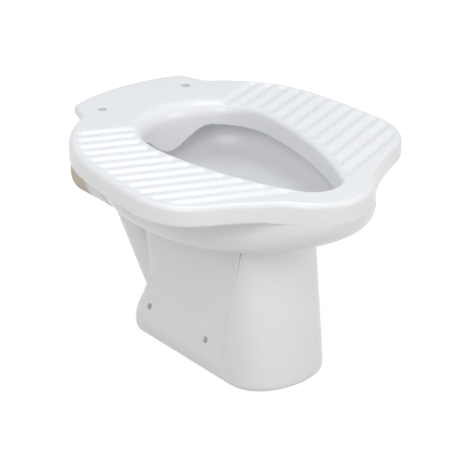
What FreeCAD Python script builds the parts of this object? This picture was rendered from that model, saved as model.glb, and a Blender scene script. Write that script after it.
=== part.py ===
import FreeCAD, Part
import math
import os
import Sketcher

"""Anglo-indian toilet: glazed china closet with two ribbed footrests and a P-trap.

Millimetres. +Z is up, the mouth's front faces -Y, the outlet points to +Y.
The origin lies on the floor under the middle of the overall box.
"""

SIZES = {
    # overall levels
    "slab_top": 350.0,
    "slab_edge": 32.0,
    "slab_plate": 12.0,
    "slab_wall": 12.0,
    # plan of the slab, right half
    "deck_bow_radius": 330.0,
    "deck_corner_x": 107.0,
    "deck_corner_y": 223.0,
    "notch_x": 122.0,
    "notch_y": 178.0,
    "wing_side_x": 228.7,
    "wing_side_y": 23.8,
    "wing_corner_inset": 29.7,
    "wing_corner_y": 202.9,
    "wing_front_inset": 70.6,
    "wing_front_y": 217.5,
    "lip_radius": 97.5,
    "lip_join_angle": 70.0,
    "corner_round": 11.0,
    "edge_round": 9.0,
    "skirt_taper_front": 125.0,
    "skirt_taper_rear": 176.0,
    # mouth, an egg of four arcs
    "mouth_rear_centre": 7.5,
    "mouth_rear_radius": 106.0,
    "mouth_nose_centre": 222.5,
    "mouth_nose_radius": 44.0,
    "mouth_side_radius": 600.0,
    "mouth_round": 9.0,
    # rim channel and its ledge
    "channel_inner": 10.0,
    "channel_depth": 18.0,
    "ledge_thickness": 8.0,
    "jet_radius": 3.0,
    "rear_jet_count": 9.0,
    "rear_jet_sweep": 170.0,
    "nose_jet_count": 6.0,
    "nose_jet_sweep": 150.0,
    # seat holes
    "seat_hole_x": 81.5,
    "seat_hole_y": 180.0,
    "seat_hole_radius": 7.0,
    # footrest ribs
    "rib_angle": 23.0,
    "rib_pitch": 25.65,
    "rib_first": 42.5,
    "rib_count": 12.0,
    "groove_radius": 9.0,
    "groove_depth": 2.6,
    "rib_margin": 10.0,
    "rib_inner_x": 45.0,
    "rib_length": 260.0,
    # flush apron
    "apron_drop": 38.0,
    "apron_lean": 14.0,
    "apron_wall": 9.0,
    "apron_half_angle": 50.0,
    "apron_tip_radius": 100.0,
    # bowl tub
    "tub_offset": 53.5,
    "tub_belly": 8.0,
    "tub_side_radius": 480.0,
    "tub_wall": 12.0,
    "tub_depth": 88.0,
    "tub_flat_front": 60.0,
    "tub_rise_radius": 720.0,
    "tub_round": 40.0,
    "tub_inner_round": 32.0,
    "throat_round": 9.0,
    # trap
    "trap_bore": 40.0,
    "trap_wall": 10.0,
    "throat_y": 20.0,
    "bend_z": 115.0,
    "bend_radius": 52.0,
    "riser_angle": 52.5,
    "weir_radius": 60.0,
    "outlet_drop": 40.0,
    "horn_start_y": 235.0,
    "horn_end_y": 320.0,
    "horn_bore": 41.0,
    "horn_wall": 10.0,
    "horn_round": 3.0,
    # flush inlet
    "inlet_drop": 32.0,
    "inlet_bore": 24.0,
    "inlet_wall": 7.0,
    "inlet_past_corner": 3.0,
    "inlet_seat_depth": 6.0,
    # pedestal
    "column_base_tip": 205.0,
    "column_base_front": 120.0,
    "column_base_corner": 62.0,
    "column_base_crease": 118.0,
    "column_top_x": 72.0,
    "column_top_tip": 172.0,
    "column_top_front": 160.0,
    "column_top_corner": 20.0,
    "column_top_crease": 142.0,
    "column_loft_rise": 26.0,
    "column_wall": 14.0,
    "column_inner_base_corner": 30.0,
    "column_inner_top_corner": 14.0,
    "side_wall_outer": 66.0,
    "side_wall_inner": 50.0,
    "side_wall_rear_base_y": 88.0,
    "side_wall_rear_top_y": 120.0,
    # foot
    "foot_half_width": 85.0,
    "foot_rear_y": 125.0,
    "foot_corner": 42.0,
    "foot_band": 20.0,
    "foot_top": 70.0,
    "foot_slope_angle": 22.8,
    "foot_hole_x": 76.0,
    "foot_hole_front_y": 70.0,
    "foot_hole_rear_y": 72.0,
    "foot_hole_radius": 5.0,
}

os.makedirs("parts", exist_ok=True)
doc = FreeCAD.newDocument("anglo_indian_toilet")
sheet = doc.addObject("Spreadsheet::Sheet", "Sizes")
for row, (alias, number) in enumerate(SIZES.items(), start=1):
    sheet.set("A%d" % row, alias)
    sheet.set("B%d" % row, str(number))
    sheet.setAlias("B%d" % row, alias)
doc.recompute()


def val(name):
    """Number of one size in the sheet."""
    return float(sheet.get(name))


def ref(name):
    """Expression that points to one size in the sheet."""
    return "Sizes." + name


def new_body(label):
    """Body with the given label."""
    body = doc.addObject("PartDesign::Body", label)
    body.Label = label
    return body


def plane_sketch(body, name, role, offset=None):
    """Sketch on an origin plane of the body, moved along its normal by an expression."""
    plane = [item for item in body.Origin.OriginFeatures if item.Role == role][0]
    sketch = body.newObject("Sketcher::SketchObject", name)
    sketch.AttachmentSupport = [(plane, "")]
    sketch.MapMode = "FlatFace"
    if offset:
        sketch.setExpression("AttachmentOffset.Base.z", offset)
    doc.recompute()
    return sketch


def free_sketch(name, height):
    """Sketch on a level plane that belongs to no body."""
    sketch = doc.addObject("Sketcher::SketchObject", name)
    sketch.setExpression("Placement.Base.z", height)
    doc.recompute()
    return sketch


def bind(sketch, constraint, expression):
    """Add a constraint and bind its value."""
    index = sketch.addConstraint(constraint)
    sketch.setExpression("Constraints[%d]" % index, expression)


def pin(sketch, geo, pos, x=None, y=None):
    """Hold a point at the named distances from the sketch axes; None puts it on the axis."""
    point = sketch.getPoint(geo, pos)
    for kind, axis, coordinate, expression in (
        ("DistanceX", -2, point.x, x),
        ("DistanceY", -1, point.y, y),
    ):
        if expression is None:
            sketch.addConstraint(Sketcher.Constraint("PointOnObject", geo, pos, axis))
        elif coordinate < 0:
            bind(sketch, Sketcher.Constraint(kind, geo, pos, -1, 1, -coordinate), expression)
        else:
            bind(sketch, Sketcher.Constraint(kind, -1, 1, geo, pos, coordinate), expression)


def vec(x, y):
    """Point in a sketch."""
    return FreeCAD.Vector(x, y, 0)


def arc_about(centre, radius, start, end):
    """Counter-clockwise arc about a centre from the direction of one point to another."""
    first = math.atan2(start[1] - centre[1], start[0] - centre[0])
    last = math.atan2(end[1] - centre[1], end[0] - centre[0])
    if last <= first:
        last += 2 * math.pi
    circle = Part.Circle(vec(*centre), FreeCAD.Vector(0, 0, 1), radius)
    return Part.ArcOfCircle(circle, first, last)


def arc_centre(start, end, radius):
    """Centre of the short counter-clockwise arc between two points."""
    dx = end[0] - start[0]
    dy = end[1] - start[1]
    chord = math.hypot(dx, dy)
    rise = math.sqrt(radius ** 2 - chord ** 2 / 4)
    return ((start[0] + end[0]) / 2 - dy / chord * rise, (start[1] + end[1]) / 2 + dx / chord * rise)


def round_heading(before, point, after):
    """Unit direction at the middle one of three points, along the circle through them."""
    first = complex(*point) - complex(*before)
    second = complex(*after) - complex(*point)
    heading = first / abs(first) * second / abs(second) / ((first + second) / abs(first + second))
    return heading / abs(heading)


def two_arcs(start, leave, end, arrive):
    """Meeting point of two arcs that run smoothly from one point and heading to another."""
    run = complex(*end) - complex(*start)
    bend = leave + arrive
    along = (run * bend.conjugate()).real
    spread = 2 - 2 * (leave * arrive.conjugate()).real
    step = (math.sqrt(along ** 2 + spread * abs(run) ** 2) - along) / spread
    middle = (complex(*start) + complex(*end) + step * (leave - arrive)) / 2
    return (middle.real, middle.imag)


def arc_from(start, heading, end):
    """Centre of the arc that leaves a point along a heading, and True when it turns left."""
    run = complex(*end) - complex(*start)
    aside = heading * 1j
    reach = abs(run) ** 2 / (2 * (run * aside.conjugate()).real)
    centre = complex(*start) + aside * reach
    return (centre.real, centre.imag), reach > 0


def mirrored(point):
    """Point on the other side of the middle plane."""
    return (-point[0], point[1])


def slab_outline(sketch):
    """Closed plan of the slab: bowed deck, notches, swept wings and round lip."""
    corner = (val("deck_corner_x"), val("deck_corner_y"))
    notch = (val("notch_x"), val("notch_y"))
    middle = (val("wing_side_x"), -val("wing_side_y"))
    bend = (val("wing_side_x") - val("wing_corner_inset"), -val("wing_corner_y"))
    front = (val("wing_side_x") - val("wing_front_inset"), -val("wing_front_y"))
    nose = val("mouth_nose_centre")
    reach = val("lip_radius")
    swing = math.radians(val("lip_join_angle"))
    join = (reach * math.sin(swing), -nose - reach * math.cos(swing))
    points = (notch, middle, bend, front, join)
    headings = [round_heading(*points[i:i + 3]) for i in range(3)]

    def wing_run():
        """Arcs of the right wing from the notch to the lip: start, centre, left turn, end."""
        centre, left = arc_from(middle, -headings[0], notch)
        yield notch, centre, not left, middle
        for i in (1, 2):
            start, end = points[i:i + 2]
            halfway = two_arcs(start, headings[i - 1], end, headings[i])
            centre, left = arc_from(start, headings[i - 1], halfway)
            yield start, centre, left, halfway
            centre, left = arc_from(end, -headings[i], halfway)
            yield halfway, centre, not left, end
        centre, left = arc_from(front, headings[2], join)
        yield front, centre, left, join

    def side(sign):
        """Line and arcs of one wing, from the deck corner to the lip."""
        flip = (lambda point: point) if sign > 0 else mirrored
        line = sketch.addGeometry(Part.LineSegment(vec(*flip(corner)), vec(*flip(notch))))
        pin(sketch, line, 1, ref("deck_corner_x"), ref("deck_corner_y"))
        pin(sketch, line, 2, ref("notch_x"), ref("notch_y"))
        last = (line, 2)
        beside = ref("wing_side_x")
        pins = {
            middle: (beside, ref("wing_side_y")),
            bend: (beside + " - Sizes.wing_corner_inset", ref("wing_corner_y")),
            front: (beside + " - Sizes.wing_front_inset", ref("wing_front_y")),
        }
        for start, centre, left, end in wing_run():
            forward = left == (sign > 0)
            ends = (flip(start), flip(end)) if forward else (flip(end), flip(start))
            arc = sketch.addGeometry(arc_about(flip(centre), math.dist(centre, start), *ends))
            near, far = (1, 2) if forward else (2, 1)
            joint = "Coincident" if start == notch else "Tangent"
            sketch.addConstraint(Sketcher.Constraint(joint, *last, arc, near))
            if end in pins:
                pin(sketch, arc, far, *pins[end])
            last = (arc, far)
        return line, last

    right_line, right_end = side(1)
    left_line, left_end = side(-1)
    rear_centre = arc_centre(corner, mirrored(corner), val("deck_bow_radius"))
    rear = sketch.addGeometry(arc_about(rear_centre, val("deck_bow_radius"), corner, mirrored(corner)))
    lip = sketch.addGeometry(arc_about((0, -nose), reach, mirrored(join), join))
    sketch.addConstraint(Sketcher.Constraint("Coincident", rear, 1, right_line, 1))
    sketch.addConstraint(Sketcher.Constraint("Coincident", rear, 2, left_line, 1))
    bind(sketch, Sketcher.Constraint("Radius", rear, val("deck_bow_radius")), ref("deck_bow_radius"))
    sketch.addConstraint(Sketcher.Constraint("Coincident", lip, 2, *right_end))
    sketch.addConstraint(Sketcher.Constraint("Coincident", lip, 1, *left_end))
    pin(sketch, lip, 3, None, ref("mouth_nose_centre"))
    bind(sketch, Sketcher.Constraint("Radius", lip, reach), ref("lip_radius"))
    join_text = "Sizes.lip_radius * sin(Sizes.lip_join_angle * 1 deg)"
    for end in (1, 2):
        point = sketch.getPoint(lip, end)
        order = (lip, end, -1, 1) if point.x < 0 else (-1, 1, lip, end)
        bind(sketch, Sketcher.Constraint("DistanceX", *order, abs(point.x)), join_text)


def egg_arcs(grow=0.0, tub=False):
    """Centre, radius and ends of an egg's four arcs: the mouth grown by an offset, or the tub."""
    wide = val("mouth_rear_radius") + grow
    slim = val("mouth_nose_radius") + grow
    long = val("mouth_side_radius") + grow
    if tub:
        wide += val("tub_belly")
        long = val("tub_side_radius") - val("tub_offset") + grow
    top = (0, val("mouth_rear_centre"))
    low = (0, -val("mouth_nose_centre"))
    gap = top[1] - low[1]
    level = ((long - slim) ** 2 - (long - wide) ** 2) / (2 * gap) + (top[1] + low[1]) / 2
    centre = (-math.sqrt((long - wide) ** 2 - (level - top[1]) ** 2), level)

    def touch(other, radius):
        """Point where the right side arc runs into a round end."""
        length = math.dist(other, centre)
        return tuple(b + (b - a) / length * radius for a, b in zip(centre, other))

    upper = touch(top, wide)
    lower = touch(low, slim)
    return (
        (top, wide, upper, mirrored(upper)),
        (mirrored(centre), long, mirrored(upper), mirrored(lower)),
        (low, slim, mirrored(lower), lower),
        (centre, long, lower, upper),
    )


def egg(sketch, plus=(), minus=()):
    """Closed egg: the mouth's four arcs with common offsets added to or taken from each radius.

    With the tub's offset among them the egg is the tub's, with a belly and rounder sides.
    """
    tub = "tub_offset" in plus
    grow = sum(val(word) for word in plus) - sum(val(word) for word in minus)
    extra = "".join(" + " + ref(word) for word in plus) + "".join(" - " + ref(word) for word in minus)
    arcs = egg_arcs(grow, tub)
    loop = [sketch.addGeometry(arc_about(*arc)) for arc in arcs]
    for first, second in zip(loop, loop[1:] + loop[:1]):
        sketch.addConstraint(Sketcher.Constraint("Tangent", first, 2, second, 1))
    pin(sketch, loop[0], 3, None, ref("mouth_rear_centre"))
    pin(sketch, loop[2], 3, None, ref("mouth_nose_centre"))
    texts = [ref("mouth_%s_radius" % word) + extra for word in ("rear", "side", "nose", "side")]
    if tub:
        texts[0] += " + Sizes.tub_belly"
        texts[1] = texts[3] = "Sizes.tub_side_radius - Sizes.tub_offset" + extra
    for geo, arc, text in zip(loop, arcs, texts):
        bind(sketch, Sketcher.Constraint("Radius", geo, arc[1]), text)


def circle(sketch, x, y, radius, x_name=None, y_name=None, radius_name=None):
    """Circle pinned by named distances, with a named radius."""
    geo = sketch.addGeometry(Part.Circle(vec(x, y), FreeCAD.Vector(0, 0, 1), radius))
    pin(sketch, geo, 3, x_name, y_name)
    bind(sketch, Sketcher.Constraint("Radius", geo, radius), radius_name)
    return geo


def extrude(body, kind, name, sketch, length, reverse=False):
    """Pad or pocket of fixed length; the length is an expression."""
    feature = body.newObject("PartDesign::" + kind, name)
    feature.Profile = sketch
    feature.Type = "Length"
    feature.Reversed = reverse
    feature.setExpression("Length", length)
    sketch.Visibility = False
    doc.recompute()
    return feature


def through(body, name, sketch):
    """Pocket that goes all the way on both sides of its sketch."""
    feature = body.newObject("PartDesign::Pocket", name)
    feature.Profile = sketch
    feature.SideType = "Symmetric"
    feature.Type = "ThroughAll"
    sketch.Visibility = False
    doc.recompute()
    return feature


def round_edges(body, name, pick, radius):
    """Fillet on the edges that the test picks from the body's present shape."""
    base = body.Tip
    chosen = ["Edge%d" % (i + 1) for i, edge in enumerate(base.Shape.Edges) if pick(edge)]
    fillet = body.newObject("PartDesign::Fillet", name)
    fillet.Base = (base, chosen)
    fillet.setExpression("Radius", radius)
    doc.recompute()
    return fillet


def at_height(edge, height):
    """True when an edge lies level at the height."""
    box = edge.BoundBox
    return abs(box.ZMin - height) < 1e-3 and abs(box.ZMax - height) < 1e-3


def upright(edge):
    """True when an edge runs straight up."""
    box = edge.BoundBox
    return box.ZLength > 1 and box.XLength < 1e-3 and box.YLength < 1e-3


def polygon(sketch, points, expressions):
    """Closed polygon with every corner pinned to its own expressions."""
    count = len(points)
    lines = [
        sketch.addGeometry(Part.LineSegment(vec(*points[i]), vec(*points[(i + 1) % count])))
        for i in range(count)
    ]
    for i in range(count):
        sketch.addConstraint(Sketcher.Constraint("Coincident", lines[i], 2, lines[(i + 1) % count], 1))
    for line, (x, y) in zip(lines, expressions):
        pin(sketch, line, 1, x, y)
    return lines


rim_level = "Sizes.slab_top - Sizes.slab_edge"
rim_z = val("slab_top") - val("slab_edge")
floor_level = "(%s - Sizes.tub_depth)" % rim_level
floor_z = rim_z - val("tub_depth")
loft_level = "(%s + Sizes.column_loft_rise)" % floor_level
loft_z = floor_z + val("column_loft_rise")
inlet_level = "(%s - Sizes.inlet_drop)" % rim_level
inlet_z = rim_z - val("inlet_drop")
outlet_level = "(%s - Sizes.outlet_drop)" % floor_level
outlet_z = floor_z - val("outlet_drop")
nodes = {}

# footrest slab: solid plan, rounded edges, mouth and seat holes
blank = new_body("slab_blank")
outline = plane_sketch(blank, "slab_plan", "XY_Plane", rim_level)
slab_outline(outline)
extrude(blank, "Pad", "slab_pad", outline, ref("slab_edge"))


def plan_corner(edge):
    """True for the upright edges at the deck corners, the notches and the lip joins."""
    if not upright(edge):
        return False
    spot = edge.BoundBox.Center
    places = (
        (val("deck_corner_x"), val("deck_corner_y")),
        (val("notch_x"), val("notch_y")),
    )
    return any(math.hypot(abs(spot.x) - x, spot.y - y) < 1 for x, y in places)


round_edges(blank, "slab_corners", plan_corner, ref("corner_round"))
round_edges(blank, "slab_top_round", lambda edge: at_height(edge, val("slab_top")), ref("edge_round"))
mouth = plane_sketch(blank, "mouth_plan", "XY_Plane", ref("slab_top"))
egg(mouth)
through(blank, "mouth_opening", mouth)


def mouth_edge(edge):
    """True for the top edges that lie on the mouth's arcs."""
    if not at_height(edge, val("slab_top")):
        return False
    spot = edge.valueAt((edge.FirstParameter + edge.LastParameter) / 2)
    return any(abs(math.dist(arc[0], (spot.x, spot.y)) - arc[1]) < 1e-3 for arc in egg_arcs())


round_edges(blank, "mouth_round_edge", mouth_edge, ref("mouth_round"))
holes = plane_sketch(blank, "seat_hole_plan", "XY_Plane", ref("slab_top"))
for sign in (1, -1):
    circle(
        holes, sign * val("seat_hole_x"), val("seat_hole_y"), val("seat_hole_radius"),
        ref("seat_hole_x"), ref("seat_hole_y"), ref("seat_hole_radius"),
    )
through(blank, "seat_holes", holes)


def prism(name, sketch, height):
    """Upright prism on a closed sketch."""
    solid = doc.addObject("Part::Extrusion", name)
    solid.Base = sketch
    solid.DirMode = "Custom"
    solid.Dir = FreeCAD.Vector(0, 0, 1)
    solid.setExpression("LengthFwd", height)
    solid.Solid = True
    doc.recompute()
    return solid


def cut(name, base, tool):
    """Base with the tool taken away."""
    result = doc.addObject("Part::Cut", name)
    result.Base = base
    result.Tool = tool
    doc.recompute()
    return result


def inset_plan(name, height, inset):
    """Slab plan drawn in by an inset at a height."""
    source = free_sketch(name + "_plan", height)
    slab_outline(source)
    doc.recompute()
    ring = doc.addObject("Part::Offset2D", name + "_inset")
    ring.Source = source
    ring.Join = "Arc"
    ring.setExpression("Value", "-" + inset)
    doc.recompute()
    return ring


hollow_plan = inset_plan("hollow", rim_level, ref("slab_wall"))
hollow = prism("hollow_block", hollow_plan, "Sizes.slab_edge - Sizes.slab_plate")
core_plan = free_sketch("core_plan", rim_level)
egg(core_plan, ["tub_offset"])
core = prism("core_block", core_plan, ref("slab_edge"))
hollow_ring = cut("hollow_under_wings", hollow, core)
channel_out_plan = free_sketch("channel_outer_plan", rim_level)
egg(channel_out_plan, ["tub_offset"], ["tub_wall"])
channel_in_plan = free_sketch("channel_inner_plan", rim_level)
egg(channel_in_plan, ["channel_inner"])
channel_out = prism("channel_outer", channel_out_plan, ref("channel_depth"))
channel_in = prism("channel_inner_core", channel_in_plan, ref("channel_depth"))
channel = cut("rim_channel", channel_out, channel_in)
slab_hollow = cut("slab_hollowed", blank, hollow_ring)
slab_channel = cut("slab_channelled", slab_hollow, channel)

# the down-turned edge runs out towards the rear, where the deck is a bare plate
wedge = new_body("skirt_wedge")
wedge_side = plane_sketch(wedge, "skirt_wedge_side", "YZ_Plane")
plate_level = "Sizes.slab_top - Sizes.slab_plate"
plate_z = val("slab_top") - val("slab_plate")
polygon(wedge_side, (
    (val("skirt_taper_front"), rim_z),
    (2 * val("deck_corner_y"), rim_z),
    (2 * val("deck_corner_y"), plate_z),
    (val("skirt_taper_rear"), plate_z),
), (
    (ref("skirt_taper_front"), rim_level),
    ("2 * Sizes.deck_corner_y", rim_level),
    ("2 * Sizes.deck_corner_y", plate_level),
    (ref("skirt_taper_rear"), plate_level),
))
wedge_pad = extrude(wedge, "Pad", "skirt_wedge_pad", wedge_side, "4 * Sizes.deck_corner_x")
wedge_pad.SideType = "Symmetric"
doc.recompute()
skirt_trim = cut("skirt_trim", wedge, core)
slab_trimmed = cut("slab_trimmed", slab_channel, skirt_trim)

# footrest grooves: round cutters laid in a row and held inside the rib field
rib_field_plan = inset_plan("rib_field", "Sizes.slab_top - Sizes.edge_round", ref("rib_margin"))
rib_field = prism("rib_field", rib_field_plan, "2 * Sizes.edge_round")
cutters = []
for sign, side_name in ((1, "right"), (-1, "left")):
    for index in range(int(val("rib_count"))):
        rod = doc.addObject("Part::Cylinder", "groove_%s_%d" % (side_name, index))
        rod.setExpression("Radius", ref("groove_radius"))
        rod.setExpression("Height", ref("rib_length"))
        turn = "Sizes.rib_angle * 1 deg"
        drop = "((%d * Sizes.rib_pitch - Sizes.rib_first) / cos(%s))" % (index, turn)
        rod.setExpression("Placement.Base.x", "%d * Sizes.rib_inner_x" % sign)
        rod.setExpression("Placement.Base.y", "Sizes.rib_inner_x * tan(%s) - %s" % (turn, drop))
        rod.setExpression("Placement.Base.z", "Sizes.slab_top + Sizes.groove_radius - Sizes.groove_depth")
        rod.setExpression("Placement.Rotation.Axis.x", "-sin(%s)" % turn)
        rod.setExpression("Placement.Rotation.Axis.y", "%d * cos(%s)" % (sign, turn))
        rod.setExpression("Placement.Rotation.Axis.z", "0")
        rod.setExpression("Placement.Rotation.Angle", "90 deg")
        cutters.append(rod)
grooves = doc.addObject("Part::MultiFuse", "groove_rods")
grooves.Shapes = cutters
held = doc.addObject("Part::MultiCommon", "grooves_in_field")
held.Shapes = [grooves, rib_field]
doc.recompute()
slab = cut("footrest_slab", slab_trimmed, held)
nodes["footrest_slab"] = slab

# rim ledge that closes the channel from below, with the flush jets
ledge = new_body("flush_rim")
ledge_plan = plane_sketch(ledge, "ledge_plan", "XY_Plane", rim_level)
egg(ledge_plan, ["tub_offset"], ["tub_wall"])
extrude(ledge, "Pad", "ledge_pad", ledge_plan, ref("ledge_thickness"), reverse=True)
ledge_mouth = plane_sketch(ledge, "ledge_mouth", "XY_Plane", rim_level)
egg(ledge_mouth)
through(ledge, "ledge_opening", ledge_mouth)


def jets(name, centre, radius_name, middle_angle):
    """Row of jet holes on an arc about one of the mouth's round ends."""
    sweep = val(name + "_sweep")
    sketch = plane_sketch(ledge, name, "XY_Plane", rim_level)
    sketch.setExpression("AttachmentOffset.Base.y", centre)
    ring = val(radius_name) + (val("channel_inner") + val("tub_offset") - val("tub_wall")) / 2
    turn = math.radians(middle_angle - sweep / 2)
    spot = vec(ring * math.cos(turn), ring * math.sin(turn))
    hole = sketch.addGeometry(Part.Circle(spot, FreeCAD.Vector(0, 0, 1), val("jet_radius")))
    bind(sketch, Sketcher.Constraint("Radius", hole, val("jet_radius")), ref("jet_radius"))
    arm = sketch.addGeometry(Part.LineSegment(vec(0, 0), sketch.getPoint(hole, 3)), True)
    sketch.addConstraint(Sketcher.Constraint("Coincident", arm, 1, -1, 1))
    sketch.addConstraint(Sketcher.Constraint("Coincident", arm, 2, hole, 3))
    bind(
        sketch, Sketcher.Constraint("Distance", arm, ring),
        ref(radius_name) + " + (Sizes.channel_inner + Sizes.tub_offset - Sizes.tub_wall) / 2",
    )
    sketch.addConstraint(Sketcher.Constraint("Angle", -1, 1, arm, 1, turn))
    pocket = through(ledge, name + "_hole", sketch)
    row = ledge.newObject("PartDesign::PolarPattern", name + "_row")
    row.Originals = [pocket]
    row.Axis = (sketch, ["N_Axis"])
    row.Angle = sweep
    row.Occurrences = int(val(name + "_count"))
    ledge.Tip = row
    doc.recompute()


jets("rear_jet", ref("mouth_rear_centre"), "mouth_rear_radius", 90)
jets("nose_jet", "-" + ref("mouth_nose_centre"), "mouth_nose_radius", 270)
nodes["flush_rim"] = ledge

# flush apron: leaning wall turned about the mouth's rear centre, cut to a tongue
apron = new_body("flush_apron")
apron_side = plane_sketch(apron, "apron_profile", "YZ_Plane")
apron_top = rim_z - val("ledge_thickness")
near = val("mouth_rear_centre") + val("mouth_rear_radius")
lean = val("apron_lean")
wall = val("apron_wall")
low = apron_top - val("apron_drop")
corners = ((near, apron_top), (near + wall, apron_top), (near + wall - lean, low), (near - lean, low))
reach_text = "Sizes.mouth_rear_centre + Sizes.mouth_rear_radius"
top_text = rim_level + " - Sizes.ledge_thickness"
low_text = top_text + " - Sizes.apron_drop"
texts = (
    (reach_text, top_text),
    (reach_text + " + Sizes.apron_wall", top_text),
    (reach_text + " + Sizes.apron_wall - Sizes.apron_lean", low_text),
    (reach_text + " - Sizes.apron_lean", low_text),
)

polygon(apron_side, corners, texts)
axis_line = apron_side.addGeometry(
    Part.LineSegment(vec(val("mouth_rear_centre"), low), vec(val("mouth_rear_centre"), apron_top)), True
)
pin(apron_side, axis_line, 1, ref("mouth_rear_centre"), low_text)
pin(apron_side, axis_line, 2, ref("mouth_rear_centre"), top_text)
turned = apron.newObject("PartDesign::Revolution", "apron_turn")
turned.Profile = apron_side
turned.ReferenceAxis = (apron_side, ["Axis0"])
turned.Midplane = True
turned.setExpression("Angle", "2 * Sizes.apron_half_angle")
doc.recompute()
tongue = plane_sketch(apron, "tongue_cut", "XZ_Plane")
tip_z = low + val("apron_tip_radius")
swing = math.asin((tip_z - apron_top) / val("apron_tip_radius"))
edge_x = val("apron_tip_radius") * math.cos(swing)
bottom_arc = tongue.addGeometry(
    arc_about((0, tip_z), val("apron_tip_radius"), (-edge_x, apron_top), (edge_x, apron_top))
)
frame_x = 2 * val("apron_tip_radius")
frame_low = low - val("apron_drop")
path = ((edge_x, apron_top), (frame_x, apron_top), (frame_x, frame_low), (-frame_x, frame_low),
        (-frame_x, apron_top), (-edge_x, apron_top))
border = [tongue.addGeometry(Part.LineSegment(vec(*a), vec(*b))) for a, b in zip(path, path[1:])]
tongue.addConstraint(Sketcher.Constraint("Coincident", bottom_arc, 2, border[0], 1))
for a, b in zip(border, border[1:]):
    tongue.addConstraint(Sketcher.Constraint("Coincident", a, 2, b, 1))
tongue.addConstraint(Sketcher.Constraint("Coincident", border[-1], 2, bottom_arc, 1))
pin(tongue, bottom_arc, 3, None, low_text + " + Sizes.apron_tip_radius")
bind(tongue, Sketcher.Constraint("Radius", bottom_arc, val("apron_tip_radius")), ref("apron_tip_radius"))
pin(tongue, border[1], 1, "2 * Sizes.apron_tip_radius", top_text)
pin(tongue, border[1], 2, "2 * Sizes.apron_tip_radius", low_text + " - Sizes.apron_drop")
pin(tongue, border[3], 1, "2 * Sizes.apron_tip_radius", low_text + " - Sizes.apron_drop")
pin(tongue, border[3], 2, "2 * Sizes.apron_tip_radius", top_text)
tongue.addConstraint(Sketcher.Constraint("Horizontal", border[0]))
tongue.addConstraint(Sketcher.Constraint("Horizontal", border[4]))
through(apron, "tongue_shape", tongue)
nodes["flush_apron"] = apron

# bowl: egg-shaped tub with a floor that rises to the front


def floor_profile(sketch, above, lift=None):
    """Region between the tub's underside, or its floor, and the slab's top or the ground, from the side."""
    flat = -val("tub_flat_front")
    level = floor_z + val(lift) if lift else floor_z
    level_text = "%s + %s" % (floor_level, ref(lift)) if lift else floor_level
    bend = val("tub_rise_radius")
    rear = 2 * val("deck_corner_y")
    ahead = -2 * val("mouth_nose_centre")
    rise = level + bend - math.sqrt(bend ** 2 - (ahead - flat) ** 2)
    edge = 2 * val("slab_top") if above else 0
    edge_text = "2 * Sizes.slab_top" if above else None
    arc = sketch.addGeometry(arc_about((flat, level + bend), bend, (ahead, rise), (flat, level)))
    path = ((flat, level), (rear, level), (rear, edge), (ahead, edge), (ahead, rise))
    lines = [sketch.addGeometry(Part.LineSegment(vec(*a), vec(*b))) for a, b in zip(path, path[1:])]
    sketch.addConstraint(Sketcher.Constraint("Tangent", arc, 2, lines[0], 1))
    for a, b in zip(lines, lines[1:]):
        sketch.addConstraint(Sketcher.Constraint("Coincident", a, 2, b, 1))
    sketch.addConstraint(Sketcher.Constraint("Coincident", lines[3], 2, arc, 1))
    bind(sketch, Sketcher.Constraint("Radius", arc, bend), ref("tub_rise_radius"))
    pin(sketch, lines[0], 1, ref("tub_flat_front"), level_text)
    pin(sketch, lines[1], 1, "2 * Sizes.deck_corner_y", level_text)
    pin(sketch, lines[2], 1, "2 * Sizes.deck_corner_y", edge_text)
    pin(sketch, lines[3], 1, "2 * Sizes.mouth_nose_centre", edge_text)
    sketch.addConstraint(Sketcher.Constraint("Vertical", lines[3]))


def tub_form(label, thinner, lift, rounding):
    """Egg-shaped block below the rim with a rounded bottom: the tub's outside or its hollow."""
    body = new_body(label)
    plan = plane_sketch(body, label + "_plan", "XY_Plane", rim_level)
    egg(plan, ["tub_offset"], thinner)
    extrude(body, "Pad", label + "_pad", plan, "Sizes.tub_depth + Sizes.tub_round", reverse=True)
    under = plane_sketch(body, label + "_underside", "YZ_Plane")
    floor_profile(under, False, lift)
    through(body, label + "_underside_cut", under)

    def bottom_edge(edge):
        """True for the edges round the bottom."""
        box = edge.BoundBox
        return box.ZMax < rim_z - 1 and not upright(edge) and box.XLength * box.YLength > 1

    round_edges(body, label + "_round", bottom_edge, ref(rounding))
    return body


tub = tub_form("tub_blank", [], None, "tub_round")
tub_hollow = tub_form("tub_hollow", ["tub_wall"], "tub_wall", "tub_inner_round")
throat = plane_sketch(tub_hollow, "throat_plan", "XY_Plane", floor_level)
circle(throat, 0, val("throat_y"), val("trap_bore"), None, ref("throat_y"), ref("trap_bore"))
extrude(tub_hollow, "Pad", "throat_hole", throat, "Sizes.tub_wall + Sizes.throat_round")


def throat_edge(edge):
    """True for the edge where the throat leaves the floor."""
    return at_height(edge, floor_z + val("tub_wall")) and edge.BoundBox.XLength < 2.1 * val("trap_bore")


round_edges(tub_hollow, "throat_round_edge", throat_edge, ref("throat_round"))
inlet_hole = plane_sketch(tub, "inlet_hole_plan", "XZ_Plane")
circle(inlet_hole, 0, inlet_z, val("inlet_bore"), None, inlet_level, ref("inlet_bore"))
extrude(tub, "Pocket", "inlet_hole", inlet_hole, "2 * Sizes.deck_corner_y")
nodes["bowl"] = cut("bowl", tub, tub_hollow)

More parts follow.
